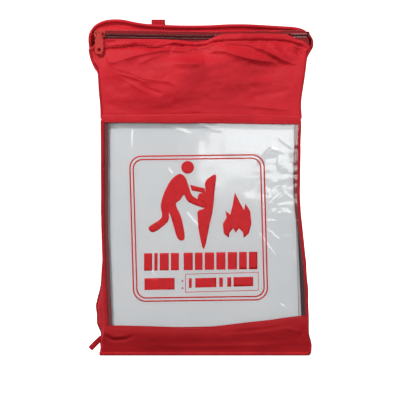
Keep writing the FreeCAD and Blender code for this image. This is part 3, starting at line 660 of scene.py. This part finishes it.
def on_zip(x, vv, w):
    """From the zip's own plane to the row: vv up the slope, w out of it. The chain sags a little in the middle."""
    x, vv, w = np.broadcast_arrays(np.asarray(x, float), np.asarray(vv, float), np.asarray(w, float))
    sag = 1.4 * np.sin(np.pi * np.clip((x + 96) / 200, 0, 1)) ** 1.5
    return np.stack([x, S0[0] + vv * math.cos(BETA) - w * math.sin(BETA), S0[1] + vv * math.sin(BETA) + w * math.cos(BETA) - sag], -1)


def tape(name, v0, v1, mat, x0=-108.6, x1=113.6, amp=0.25, seed=71):
    u = np.linspace(0, 1, 240)[:, None]
    a = np.linspace(0, 1, 18)[None, :]
    X = x0 + (x1 - x0) * u + 0 * a
    Vv = v0 + (v1 - v0) * a + 0 * u
    w = 0.3 + amp * vn(X, Vv, 16, 5, seed) * np.clip(np.abs(Vv - 14.3) / 6 - 0.4, 0, 1)
    Zt = on_zip(X, Vv, w)[..., 2]
    lo_, hi_ = XL(Zt) + 1.2, XR(Zt) - 1.8
    X = np.maximum(lo_, x0) + (np.minimum(hi_, x1) - np.maximum(lo_, x0)) * u
    return cloth(name, on_zip(X, Vv, w), 0.55, mat)


# both tapes carry the darker red, painted shade for the recess along the zip
ztf = tape("zip_tape_front_cloth", 2.4, 13.1, ZIP_TAPE_SHADED)
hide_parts("zip_tape_front")
blend_lip(ztf)
ztb = tape("zip_tape_back_cloth", 15.5, 22.0, ZIP_TAPE_SHADED, seed=72)
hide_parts("zip_tape_back")
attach(ztb, "pouch")


def coil(side):
    """One monofilament coil: each turn has a head past the centre line and a return at the root."""
    pitch = 1.4
    n = int((112.0 + 102.4) / pitch)
    k = 10
    s = np.arange(n * k + 1) / k
    ph = 2 * np.pi * s
    x = -102.4 + (s + (0.25 if side > 0 else -0.25)) * pitch + 0.12 * np.sin(ph)
    k_ = 1.0 - 0.62 * smooth((x - 94.0) / 5.0)
    vv = 14.3 + side * (1.10 * k_ - 1.75 * k_ * np.cos(ph))
    w = 1.55 + 0.92 * k_ * np.sin(ph)
    path = on_zip(x, vv, w)
    return tube(f"coil_{'back' if side > 0 else 'front'}", path, 0.34, 0.34, COIL, n=6, up=(0.1, 0.3, 1.0))


cf = coil(-1)
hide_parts("zip_coil_front")
blend_lip(cf)
cb = coil(1)
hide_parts("zip_coil_back")
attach(cb, "pouch")
for side in (-1, 1):
    xs = np.linspace(-101.5, 111.5, 160)
    c = tube(f"coil_cord_{'b' if side > 0 else 'f'}", on_zip(xs, 14.3 + side * 1.9, 1.35), 0.38, 0.42, CORD, n=6)
    st = stitches(f"coil_stitch_{'b' if side > 0 else 'f'}", on_zip(xs, 14.3 + side * 3.4, 0.42), THREAD, 1.9, 0.8, 0.16)
    if side > 0:
        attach(c, "pouch"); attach(st, "pouch")
    else:
        blend_lip(c); blend_lip(st)

# ---------------------------------------------------------------- strip behind the zip, rolled top edge
u = np.linspace(0, 1, 240)[:, None]
a = np.linspace(0, 1, 30)[None, :]
X = -109.2 + u * 223.0 + 0 * a
z0 = on_zip(X, 20.5, 0.0)[..., 2]
y0 = on_zip(X, 20.5, 0.0)[..., 1]
X = np.clip(X, XL(TOP(X) - 6) + 1.0, XR(TOP(X) - 4) - 1.0)
z1 = TOP(X) - 0.6
y1 = back_y(z1) - 2.0
zz = z0 + (z1 - z0) * a
Y = y0 + (y1 - y0) * a + 1.5 * np.exp(-((a - 0.6) / 0.2) ** 2) - 0.45 * vn(X, zz, 17, 6, 81) * np.sin(np.pi * a)
Y -= crease(X, zz, [(-30, 338), (20, 336), (70, 337), (104, 333)], 1.1, 0.9) - crease(X, zz, [(-90, 341.5), (-40, 338), (0, 337.6)], 1.0, 0.7)
strip_ = cloth("top_strip_cloth", np.stack([X, Y, zz], -1), 0.6, RED)
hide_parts("top_gusset_back")
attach(strip_, "pouch")
xs = np.linspace(-104, 108, 170)
pz = on_zip(xs, 21.6, 0.0)
st = stitches("stitch_top_strip", np.stack([xs, pz[:, 1] - 0.62, pz[:, 2]], -1), THREAD)
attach(st, "pouch")

# ---------------------------------------------------------------- bindings


def wob(p, amp, seed, sc=14.0):
    s = np.concatenate([[0], np.cumsum(np.linalg.norm(np.diff(p, axis=0), axis=1))])
    q = p.copy()
    q[:, 0] += amp * vn(s, s * 0, sc, 5, seed)
    q[:, 1] += amp * 0.6 * vn(s, s * 0 + 9, sc, 5, seed + 1)
    return q


zl = np.linspace(4.0, 331.0, 200)
bl = tube("binding_back_left", wob(np.stack([XL(zl) + 1.0, back_y(zl) + 0.5, zl], -1), 0.35, 91), 1.7, 1.15, RED_TAPE, n=14)
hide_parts("back_binding_left"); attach(bl, "pouch")
zr = np.linspace(4.0, 325.0, 200)
br = tube("binding_back_right", wob(np.stack([XR(zr) - 1.0, back_y(zr) + 0.5, zr], -1), 0.35, 93), 1.7, 1.15, RED_TAPE, n=14)
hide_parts("back_binding_right"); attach(br, "pouch")
for nm_, zc_, xc_ in (("l", zl[3:-6], XL(zl[3:-6]) + 1.9), ("r", zr[3:-6], XR(zr[3:-6]) - 1.9)):
    st = stitches("stitch_back_" + nm_, np.stack([xc_, back_y(zc_) + 1.55, zc_], -1), THREAD)
    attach(st, "pouch")
tx = np.array([(-107.2, 298.0), (-109.8, 303.0), (-111.6, 308.0), (-112.6, 313.0), (-113.4, 318.0), (-114.0, 323.0), (-114.4, 328.5), (-113.8, 334.0), (-111.0, 339.4), (-106.2, 343.6), (-98.8, 346.6), (-90, 347.8), (-82, 347.6), (-75.7, 346.6), (-69.5, 345.2), (-60, 343.6), (-50, 342.7),
               (-29, 341.7), (-10, 341.3), (10, 341.6), (30, 342.6), (50, 342.6), (66, 341.8), (85, 340.7), (96, 340.0), (103, 338.9), (108.8, 336.8), (113.4, 333.2), (116.4, 328.4), (117.0, 324.0), (116.3, 320.4), (114.4, 317.0), (112.0, 312.6), (110.2, 307.6), (109.2, 301.0)])
tp = catmull(np.stack([tx[:, 0], back_y(tx[:, 1]) - 0.2 - 2.2 * smooth((112 - np.abs(tx[:, 0])) / 9), tx[:, 1] - 0.7], -1), 8)
bt = tube("binding_back_top", wob(tp, 0.25, 95), 1.9, 2.5, RED, n=18)
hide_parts("back_binding_top"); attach(bt, "pouch")
xb = np.linspace(-103.5, 113.0, 160)
bb = tube("binding_back_bottom", wob(np.stack([xb, 0 * xb + 15.9, 0 * xb + 2.4], -1), 0.2, 97), 1.9, 1.1, RED_TAPE, n=12)
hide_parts("back_binding_bottom"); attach(bb, "pouch")
fb = tube("binding_front_bottom", wob(np.stack([xb, 0 * xb - 15.9, 0 * xb + 2.3], -1), 0.2, 99), 1.8, 1.1, RED_TAPE, n=12)
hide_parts("front_binding_bottom"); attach(fb, "pouch")
zf = np.linspace(3.0, 243.0, 170)
fl = tube("binding_front_left", wob(np.stack([XFL(zf) - 0.9, 0 * zf - 15.4, zf], -1), 0.25, 101), 1.75, 1.0, RED_TAPE, n=14)
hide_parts("front_binding_left"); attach(fl, "pouch")
fr = tube("binding_front_right", wob(np.stack([XFR(zf) + 0.7, 0 * zf - 15.4, zf], -1), 0.3, 103), 1.5, 1.0, RED_TAPE, n=14)
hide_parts("front_binding_right"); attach(fr, "pouch")
zi = np.linspace(244.5, 317.0, 90)
k = 1 - smooth((zi - 244) / 30)
xl = (XL(zi) + 0.9) * (1 - k) - 100.8 * k
xr = (XR(zi) - 0.9) * (1 - k) + 104.1 * k
l1 = tube("binding_lip_left", wob(np.stack([xl, lip_y(zi) - 0.1, zi], -1), 0.2, 105), 1.25, 0.95, RED_TAPE, n=12)
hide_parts("lip_binding_left"); blend_lip(l1)
l2 = tube("binding_lip_right", wob(np.stack([xr, lip_y(zi) - 0.1, zi], -1), 0.2, 107), 1.25, 0.95, RED_TAPE, n=12)
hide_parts("lip_binding_right"); blend_lip(l2)

# loose end of the binding at the lower left
tl = catmull([(-103.2, 15.6, 15.0), (-106.0, 15.8, 12.6), (-109.6, 15.9, 9.0), (-113.0, 16.0, 5.6), (-115.2, 16.0, 3.0)], 8)
tail = tube("binding_tail_end", tl, 2.9, 0.8, RED_TAPE, n=14, power=0.6)
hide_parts("binding_tail"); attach(tail, "pouch")

# ---------------------------------------------------------------- hanging loop
lx0, lx1 = -50.2, -36.2
prof = [(12.2, 332.0), (12.4, 338.0), (12.3, 343.0), (12.6, 345.6), (13.9, 346.4), (15.8, 346.2), (18.2, 345.4), (20.2, 342.4), (20.6, 334), (20.3, 324), (19.2, 319.4), (17.2, 318.3),
        (15.2, 319.6), (14.3, 324), (14.0, 334), (14.1, 340)]
tabp = catmull([(p[0], p[1], 0) for p in [(12.2, 332.0), (12.25, 340.0), (12.25, 345.4), (12.4, 348.2)]], 8)
loopp = catmull([(p[0], p[1], 0) for p in [(13.2, 348.0), (15.0, 348.3), (17.6, 347.5), (19.7, 344.6), (20.3, 338), (20.5, 330), (20.2, 322), (18.9, 318.0), (17.3, 317.0),
                                           (15.7, 318.0), (14.6, 322), (14.3, 330), (14.35, 338), (14.7, 342.4)]], 8)


def webbing(name, pr, t, nodes, body):
    u = np.linspace(0, 1, 26)[:, None]
    m = len(pr)
    X = lx0 + (lx1 - lx0) * u + 0.25 * vn(np.arange(m)[None, :] + 0 * u, u * 4, 5, 3, 111)
    P = np.stack([X, np.repeat(pr[:, 0][None], 26, 0), np.repeat(pr[:, 1][None], 26, 0)], -1)
    P[..., 1] += 0.12 * np.sin(u * np.pi * 9) * 0.6
    o = cloth(name, P, t, RED_TAPE)
    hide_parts(*nodes)
    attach(o, body)
    return o


webbing("loop_tab_web", tabp, 1.0, ["loop_tab"], "pouch")
webbing("hang_loop_web", loopp, -1.1, ["hang_loop"], "hang_loop")

# ---------------------------------------------------------------- zip stops
zs = frame["nodes"]["zip_top_stops"]; zs.data.materials.clear(); zs.data.materials.append(COIL)
zb = frame["nodes"]["zip_bottom_stop"]; zb.data.materials.clear(); zb.data.materials.append(COIL)
for n in ("slider_body", "slider_bridge", "slider_puller"):
    o = frame["nodes"][n]
    o.data.materials.clear()
    o.data.materials.append(ENAMEL)
    bv = o.modifiers.new("round", "BEVEL")
    bv.width = 0.00028
    bv.segments = 3
    bv.limit_method = "ANGLE"
    bv.angle_limit = math.radians(35)
    for p in o.data.polygons:
        p.use_smooth = True
    o.data.set_sharp_from_angle(angle=math.radians(50))

# ---------------------------------------------------------------- blanket: one 1 m x 1 m sheet folded 5 wide and 4 high
PT = 0.96              # layer pitch, mm
WID, HEI = 196.0, 249.0


def zigzag(total, n, width, r, dens, fd):
    """Accordion profile: arc length samples, with position along and panel offset, half-round turns of radius r."""
    pos, off, arc = [], [], []
    s = 0.0
    for i in range(n):
        q = np.linspace(0, 1, dens)
        a = q * width if i % 2 == 0 else (1 - q) * width
        pos += list(a); off += [2 * r * i] * dens; arc += list(s + q * width)
        s += width
        if i < n - 1:
            th = np.linspace(0, np.pi, fd + 2)[1:-1]
            sgn = 1 if i % 2 == 0 else -1
            edge_ = width if i % 2 == 0 else 0.0
            pos += list(edge_ + sgn * r * np.sin(th)); off += list(2 * r * i + r - r * np.cos(th)); arc += list(s + r * th)
            s += np.pi * r
    return np.array(pos), np.array(off), np.array(arc)


px, ox, sx = zigzag(1000, 5, WID, PT / 2, 22, 5)
# second fold: 4 panels high, bending the five layer stack about half-rounds
STK = 5 * PT
zpos, panel, turn, tz = [], [], [], []
s = 0.0
for j in range(4):
    q = np.linspace(0, 1, 26)
    zpos += list(q * HEI if j % 2 == 0 else (1 - q) * HEI); panel += [j] * 26; turn += [0.0] * 26; tz += list(s + q * HEI)
    s += HEI
    if j < 3:
        th = np.linspace(0, np.pi, 10)[1:-1]
        zpos += [np.nan] * 8; panel += [j] * 8; turn += list(th); tz += list(s + STK / 2 * th)
        s += STK * np.pi / 2
zpos, panel, turn, tz = map(np.array, (zpos, panel, turn, tz))
nS, nT = len(px), len(tz)
Pb = np.zeros((nS, nT, 3))
for j in range(nT):
    o_ = ox + PT / 2            # depth inside the five layer stack, PT/2 .. STK-PT/2
    p = int(panel[j])
    local = o_ if p % 2 == 0 else STK - o_
    if turn[j] == 0.0:
        Pb[:, j, 0] = px
        Pb[:, j, 1] = p * STK + local
        Pb[:, j, 2] = zpos[j]
    else:
        centre = (p + 1) * STK
        rr = centre - (p * STK + local)
        top_end = p % 2 == 0
        Pb[:, j, 0] = px
        Pb[:, j, 1] = centre - rr * np.cos(turn[j])
        Pb[:, j, 2] = (HEI if top_end else 0.0) + (1 if top_end else -1) * rr * np.sin(turn[j])
depth = Pb[..., 1] / (4 * STK)
zrel = np.clip(Pb[..., 2] / HEI, 0, 1)
xrel = Pb[..., 0] / WID
# front layer at Y -12.2, back at about 7; the stack fans out to the right towards the foot
low = 1 - zrel
layer = np.repeat(((ox + PT / 2) / STK)[:, None], nT, 1)
fan = smooth((depth - 0.04) / 0.10)
xleft = -93.2 - 0.9 * low
xright = 96.9 + low ** 1.1 * (6.2 + 3.4 * fan)
Xb = xleft + (xright - xleft) * xrel
bulge = 0.45 * np.sin(np.pi * np.clip(xrel, 0, 1)) * np.sin(np.pi * zrel)
wave = 0.55 * vn(Xb, Pb[..., 2], 60, 50, 121) + 0.14 * vn(Xb, Pb[..., 2], 22, 18, 122)
Yb = -11.8 + Pb[..., 1] * (19.0 / (4 * STK)) - bulge * (1 - depth) - wave * (1 - 0.75 * depth) * 0.8
Zb = 4.6 + Pb[..., 2] * (246.0 / 253.0) * 0.988
Zb += 0.7 * np.sin(Xb / 38.0) * zrel ** 6
B = np.stack([Xb, Yb, Zb], -1)
blanket = cloth("blanket_sheet", B, 0.62, GLASS_CLOTH)
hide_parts("blanket_folded")
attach(blanket, "blanket")

# pull tapes on the blanket
for name, cx, sd in (("pull_tape_left", -58.0, 1), ("pull_tape_right", 61.0, 2)):
    u = np.linspace(0, 1, 20)[:, None]
    a = np.linspace(0, 1, 40)[None, :]
    Z = 252.6 + a * 39.5 + 0 * u
    X = cx - 12.5 + 25 * u + 0.8 * vn(Z, u, 20, 5, 130 + sd)
    Y = -3.2 + 0.7 * np.sin(a * 4.0 + sd) * a + 0.25 * vn(X, Z, 8, 9, 133 + sd)
    o = cloth(name + "_web", np.stack([X, Y, Z], -1), 1.0, BLACK_TAPE)
    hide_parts(name)
    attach(o, "blanket")

# ---------------------------------------------------------------- print, laid on the film's own surface


def printed(name, polys, step=3.0, nodes=(), off=0.10):
    """Flat shapes cut into small cells, laid on the film. polys: list of (outer loop, [holes]) in x, z."""
    bm = bmesh.new()
    for outer, holes in polys:
        loops = [outer] + holes
        edges = []
        for lp in loops:
            vs = [bm.verts.new((x, 0, z)) for x, z in lp]
            edges += [bm.edges.new((vs[i], vs[(i + 1) % len(vs)])) for i in range(len(vs))]
        bmesh.ops.triangle_fill(bm, use_beauty=True, use_dissolve=False, edges=edges)
    lo = [min(v.co[i] for v in bm.verts) for i in (0, 2)]
    hi = [max(v.co[i] for v in bm.verts) for i in (0, 2)]
    for axis, i in ((0, 0), (2, 1)):
        c = lo[i] + step
        while c < hi[i]:
            co = [0, 0, 0]; no = [0, 0, 0]
            co[axis] = c; no[axis] = 1
            bmesh.ops.bisect_plane(bm, geom=bm.verts[:] + bm.edges[:] + bm.faces[:], plane_co=co, plane_no=no)
            c += step
    bmesh.ops.triangulate(bm, faces=[f for f in bm.faces if len(f.verts) > 4])
    bm.normal_update()
    for f in bm.faces:
        if f.normal.y > 0:
            f.normal_flip()
    bm.verts.index_update()
    xs = np.array([v.co.x for v in bm.verts]); zs = np.array([v.co.z for v in bm.verts])
    ys = film_y(xs, zs) - off
    faces = [[v.index for v in f.verts] for f in bm.faces]
    n = len(xs)
    front = np.stack([xs, ys, zs], -1)
    rim = [(e.verts[0].index, e.verts[1].index, e.link_loops[0].vert.index) for e in bm.edges if len(e.link_faces) == 1]
    bm.free()
    backv = front + np.array([0, 0.07, 0])
    F = faces + [[i + n for i in f[::-1]] for f in faces]
    for a_, b_, first in rim:
        if first != a_:
            a_, b_ = b_, a_
        F.append([b_, a_, a_ + n, b_ + n])
    o = mesh_obj(name, np.concatenate([front, backv]), F, INK, smooth_shade=True)
    if nodes:
        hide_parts(*nodes)
    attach(o, "pouch")
    return o


def rrect(cx, cz, w, h, r, shear=0.0, skew=0.0, n=10):
    pts = []
    for sx_, sz_, a0 in ((1, 1, 0), (-1, 1, 90), (-1, -1, 180), (1, -1, 270)):
        for i in range(n + 1):
            a = math.radians(a0 + 90 * i / n)
            pts.append((sx_ * (w / 2 - r) + r * math.cos(a), sz_ * (h / 2 - r) + r * math.sin(a)))
    out = []
    for i in range(len(pts)):
        p, q = pts[i], pts[(i + 1) % len(pts)]
        m = max(1, int(math.dist(p, q) / 4))
        out += [(p[0] + (q[0] - p[0]) * j / m, p[1] + (q[1] - p[1]) * j / m) for j in range(m)]
    return [(cx + x - shear * z / h, cz + z + skew * (x / w)) for x, z in out]


CX, CZ = -1.6, 132.0
OW, OH = 139.6, 151.0
ring1 = (rrect(CX + 0.8, CZ, OW, OH, 13, 4.2, 1.8), [rrect(CX + 0.8, CZ, OW - 2.9, OH - 2.9, 11.7, 4.2, 1.8)])
ring2 = (rrect(CX + 0.8, CZ, OW - 6.9, OH - 6.9, 10.2, 4.2, 1.8), [rrect(CX + 0.8, CZ, OW - 9.7, OH - 9.7, 9.0, 4.2, 1.8)])
printed("print_border", [ring1, ring2], nodes=["printed_border"])


def capsule(a, b, r0, r1, n=9):
    t = math.atan2(b[1] - a[1], b[0] - a[0])
    out = []
    for i in range(n + 1):
        g = t + math.pi / 2 + math.pi * i / n
        out.append((a[0] + r0 * math.cos(g), a[1] + r0 * math.sin(g)))
    for i in range(n + 1):
        g = t - math.pi / 2 + math.pi * i / n
        out.append((b[0] + r1 * math.cos(g), b[1] + r1 * math.sin(g)))
    return out


def disc(c, r, n=40):
    return [(c[0] + r * math.cos(2 * math.pi * i / n), c[1] + r * math.sin(2 * math.pi * i / n)) for i in range(n)]


def smoothloop(p, k=6):
    q = np.array(p + p[:3], float)
    out = []
    for i in range(1, len(p) + 1):
        for s_ in range(k):
            t_ = s_ / k
            a_, b_, c_, d_ = q[i - 1], q[i], q[(i + 1) % len(q)] if i + 1 < len(q) else q[1], q[(i + 2)] if i + 2 < len(q) else q[2]
            out.append(tuple(0.5 * ((2 * b_) + (-a_ + c_) * t_ + (2 * a_ - 5 * b_ + 4 * c_ - d_) * t_ * t_ + (-a_ + 3 * b_ - 3 * c_ + d_) * t_**3)))
    return out


FIG = [(-23.5, 182.0), (-17.0, 178.0), (-13.2, 168.0), (-8.6, 156.6), (3.6, 150.0), (6.2, 145.6), (3.0, 143.2), (-13.6, 150.0), (-18.4, 158.0), (-22.6, 152.0),
       (-27.6, 147.0), (-21.4, 132.0), (-17.6, 108.4), (-25.4, 108.0), (-31.4, 127.0), (-35.4, 138.0), (-36.4, 127.6), (-52.0, 115.4), (-58.2, 121.2), (-43.6, 132.0),
       (-44.6, 146.0), (-40.0, 162.0), (-32.6, 175.4)]
ARM2 = [(-9.6, 171.6), (6.6, 168.0), (6.6, 163.2), (-8.2, 165.8)]
SHEET = [(9.6, 173.0), (12.6, 177.2), (20.6, 181.2), (19.2, 163.0), (17.4, 142.0), (14.2, 126.0), (8.2, 97.0), (3.2, 116.0), (1.6, 133.0), (2.0, 140.4), (8.6, 143.6), (8.0, 149.4),
         (2.0, 153.2), (3.2, 160.0), (9.2, 162.2), (9.2, 169.6)]
FLAME = [(40.4, 160.0), (46.6, 147.0), (50.4, 139.6), (52.0, 147.4), (57.2, 138.0), (58.6, 124.0), (55.6, 112.2), (50.0, 107.4), (49.4, 113.8), (45.0, 118.6), (41.6, 113.4), (38.6, 118.6),
         (34.6, 113.0), (34.0, 107.6), (28.4, 112.6), (27.4, 124.0), (31.4, 130.6), (30.4, 139.0), (35.4, 134.4), (38.2, 146.0)]
FIG = [(x * 0.92 + 1.0, 188.0 - (182.0 - z) * 0.905) for x, z in FIG]
ARM2 = [(x * 0.92 - 0.6, z + 5.0) for x, z in ARM2]
SHEET = [(x - 3.6, 187.0 - (181.2 - z) * 0.915) for x, z in SHEET]
FLAME = [((x - 27.4) * 0.95 + 24.0, 168.7 - (160.0 - z) * 0.89) for x, z in FLAME]
printed("print_figure", [(smoothloop(FIG, 3), []), (disc((-12.2, 194.6), 6.6), []), (ARM2, []), (smoothloop(SHEET, 3), []), (FLAME, [])], nodes=["printed_pictogram"])

bars = []
x = -57.2
for w_ in (8.4, 3.4, 9.4, 8.4, 0, 9.4, 8.0, 9.8, 9.6, 9.6, 8.0, 8.8):
    if w_ == 0:
        x += 4.8 - 2.15
        continue
    sl = 0.014 * (x + 57)
    bars.append(([(x, 88.0 + sl), (x + w_, 88.0 + sl + 0.1), (x + w_, 106.0 + sl + 0.1), (x, 106.0 + sl)], []))
    x += w_ + 2.15
bars.append(([(-56.8, 68.0), (-25.7, 68.5), (-25.7, 80.7), (-56.8, 80.2)], []))
bars += [(disc((-17.6, 70.0), 1.0, 14), []), (disc((-17.6, 77.4), 1.0, 14), [])]
bx = [(-14.7, 65.4), (60.9, 67.6), (60.9, 86.6), (-14.7, 84.7)]
bars.append((bx, [[(-14.1, 66.1), (-14.1, 84.1), (60.3, 86.0), (60.3, 68.2)]]))
for a0, a1 in ((-11.0, -8.0), (-4.4, 17.4), (20.4, 24.2), (28.6, 32.8), (35.0, 55.4)):
    s0, s1 = 0.026 * a0, 0.026 * a1
    bars.append(([(a0, 70.6 + s0), (a1, 70.6 + s1), (a1, 80.4 + s1), (a0, 80.4 + s0)], []))
printed("print_bars", bars, nodes=["printed_bars"])

# ---------------------------------------------------------------- stage, light, camera
me = bpy.data.meshes.new("floor")
pts, fc = [], []
prof_ = [(0.02, 0.0), (0.5, 0.0), (1.2, 0.0), (1.9, 0.0)] + [(1.9 + 0.7 * math.sin(a), 0.7 - 0.7 * math.cos(a)) for a in np.linspace(0.15, math.pi / 2, 12)] + [(2.6, 2.6), (2.3, 3.1), (1.2, 3.5), (0.02, 3.55)]
NR = 72
for r_, z_ in prof_:
    pts += [(r_ * math.cos(2 * math.pi * i / NR), r_ * math.sin(2 * math.pi * i / NR), z_ - 0.0004) for i in range(NR)]
for j in range(len(prof_) - 1):
    for i in range(NR):
        i2 = (i + 1) % NR
        fc.append((j * NR + i, j * NR + i2, (j + 1) * NR + i2, (j + 1) * NR + i))
fc.append(tuple(range(NR))[::-1])
me.from_pydata(pts, [], fc)
me.polygons.foreach_set("use_smooth", np.ones(len(me.polygons), bool))
floor = bpy.data.objects.new("floor", me)
bpy.context.scene.collection.objects.link(floor)
fm, fnt, fb_ = node_mat("floor_white")
fb_.inputs["Base Color"].default_value = (0.93, 0.93, 0.93, 1)
fb_.inputs["Roughness"].default_value = 0.9
fb_.inputs["Specular IOR Level"].default_value = 0.0
fb_.inputs["Emission Color"].default_value = (1, 1, 1, 1)
fb_.inputs["Emission Strength"].default_value = 0.86
geo_ = fnt.nodes.new("ShaderNodeNewGeometry")
len_ = fnt.nodes.new("ShaderNodeVectorMath")
len_.operation = "LENGTH"
fnt.links.new(geo_.outputs["Position"], len_.inputs[0])
mr_ = fnt.nodes.new("ShaderNodeMapRange")
for k_, v_ in (("From Min", 0.30), ("From Max", 0.75), ("To Min", 0.80), ("To Max", 1.05)):
    mr_.inputs[k_].default_value = v_
fnt.links.new(len_.outputs["Value"], mr_.inputs["Value"])
fnt.links.new(mr_.outputs["Result"], fb_.inputs["Emission Strength"])
me.materials.append(fm)
floor.visible_diffuse = False
floor.visible_glossy = False
floor.visible_shadow = False

world = bpy.data.worlds.new("studio")
bpy.context.scene.world = world
world.use_nodes = True
world.node_tree.nodes["Background"].inputs["Color"].default_value = (1, 1, 1, 1)
world.node_tree.nodes["Background"].inputs["Strength"].default_value = 0.24


def area(name, loc, target, size, power, sy=None):
    d = bpy.data.lights.new(name, "AREA")
    d.shape = "RECTANGLE"
    d.size = size
    d.size_y = sy or size
    d.energy = power
    o = bpy.data.objects.new(name, d)
    bpy.context.scene.collection.objects.link(o)
    o.location = loc
    o.rotation_euler = (Vector(target) - Vector(loc)).to_track_quat("-Z", "Y").to_euler()
    return o


area("key", (-0.96, -1.18, 1.72), (0, 0, 0.2), 0.44, 39.5, 0.40)
area("fill", (0.35, -1.7, 0.55), (0, 0, 0.15), 0.7, 8.2, 0.8)
area("spark", (0.30, -1.25, 0.55), (0, 0, 0.15), 0.10, 1.6, 0.10)
area("streak", (0.95, -1.15, 0.15), (0, 0, 0.13), 0.06, 1.3, 0.5)
area("back_soft", (-0.95, 0.85, 1.15), (0, 0, 0.17), 0.38, 17.0, 0.34)
area("back_fill", (0.6, 1.5, 0.5), (0, 0, 0.15), 0.7, 5.0, 0.7)

for o_ in bpy.data.objects:
    if o_.name.startswith("print_"):
        o_.visible_shadow = False

cam_d = bpy.data.cameras.new("cam")
cam_d.lens = 126.7
cam_d.sensor_width = 36
cam = bpy.data.objects.new("cam", cam_d)
bpy.context.scene.collection.objects.link(cam)
AIM = Vector((-0.0004, -0.0174, 0.1610))
EL = math.radians(1.5)
cam.location = AIM + Vector((0, -math.cos(EL), math.sin(EL))) * 1.45
cam.rotation_euler = (AIM - cam.location).to_track_quat("-Z", "Y").to_euler()
bpy.context.scene.camera = cam
bpy.context.scene.view_settings.view_transform = "Standard"
bpy.context.scene.view_settings.look = "None"
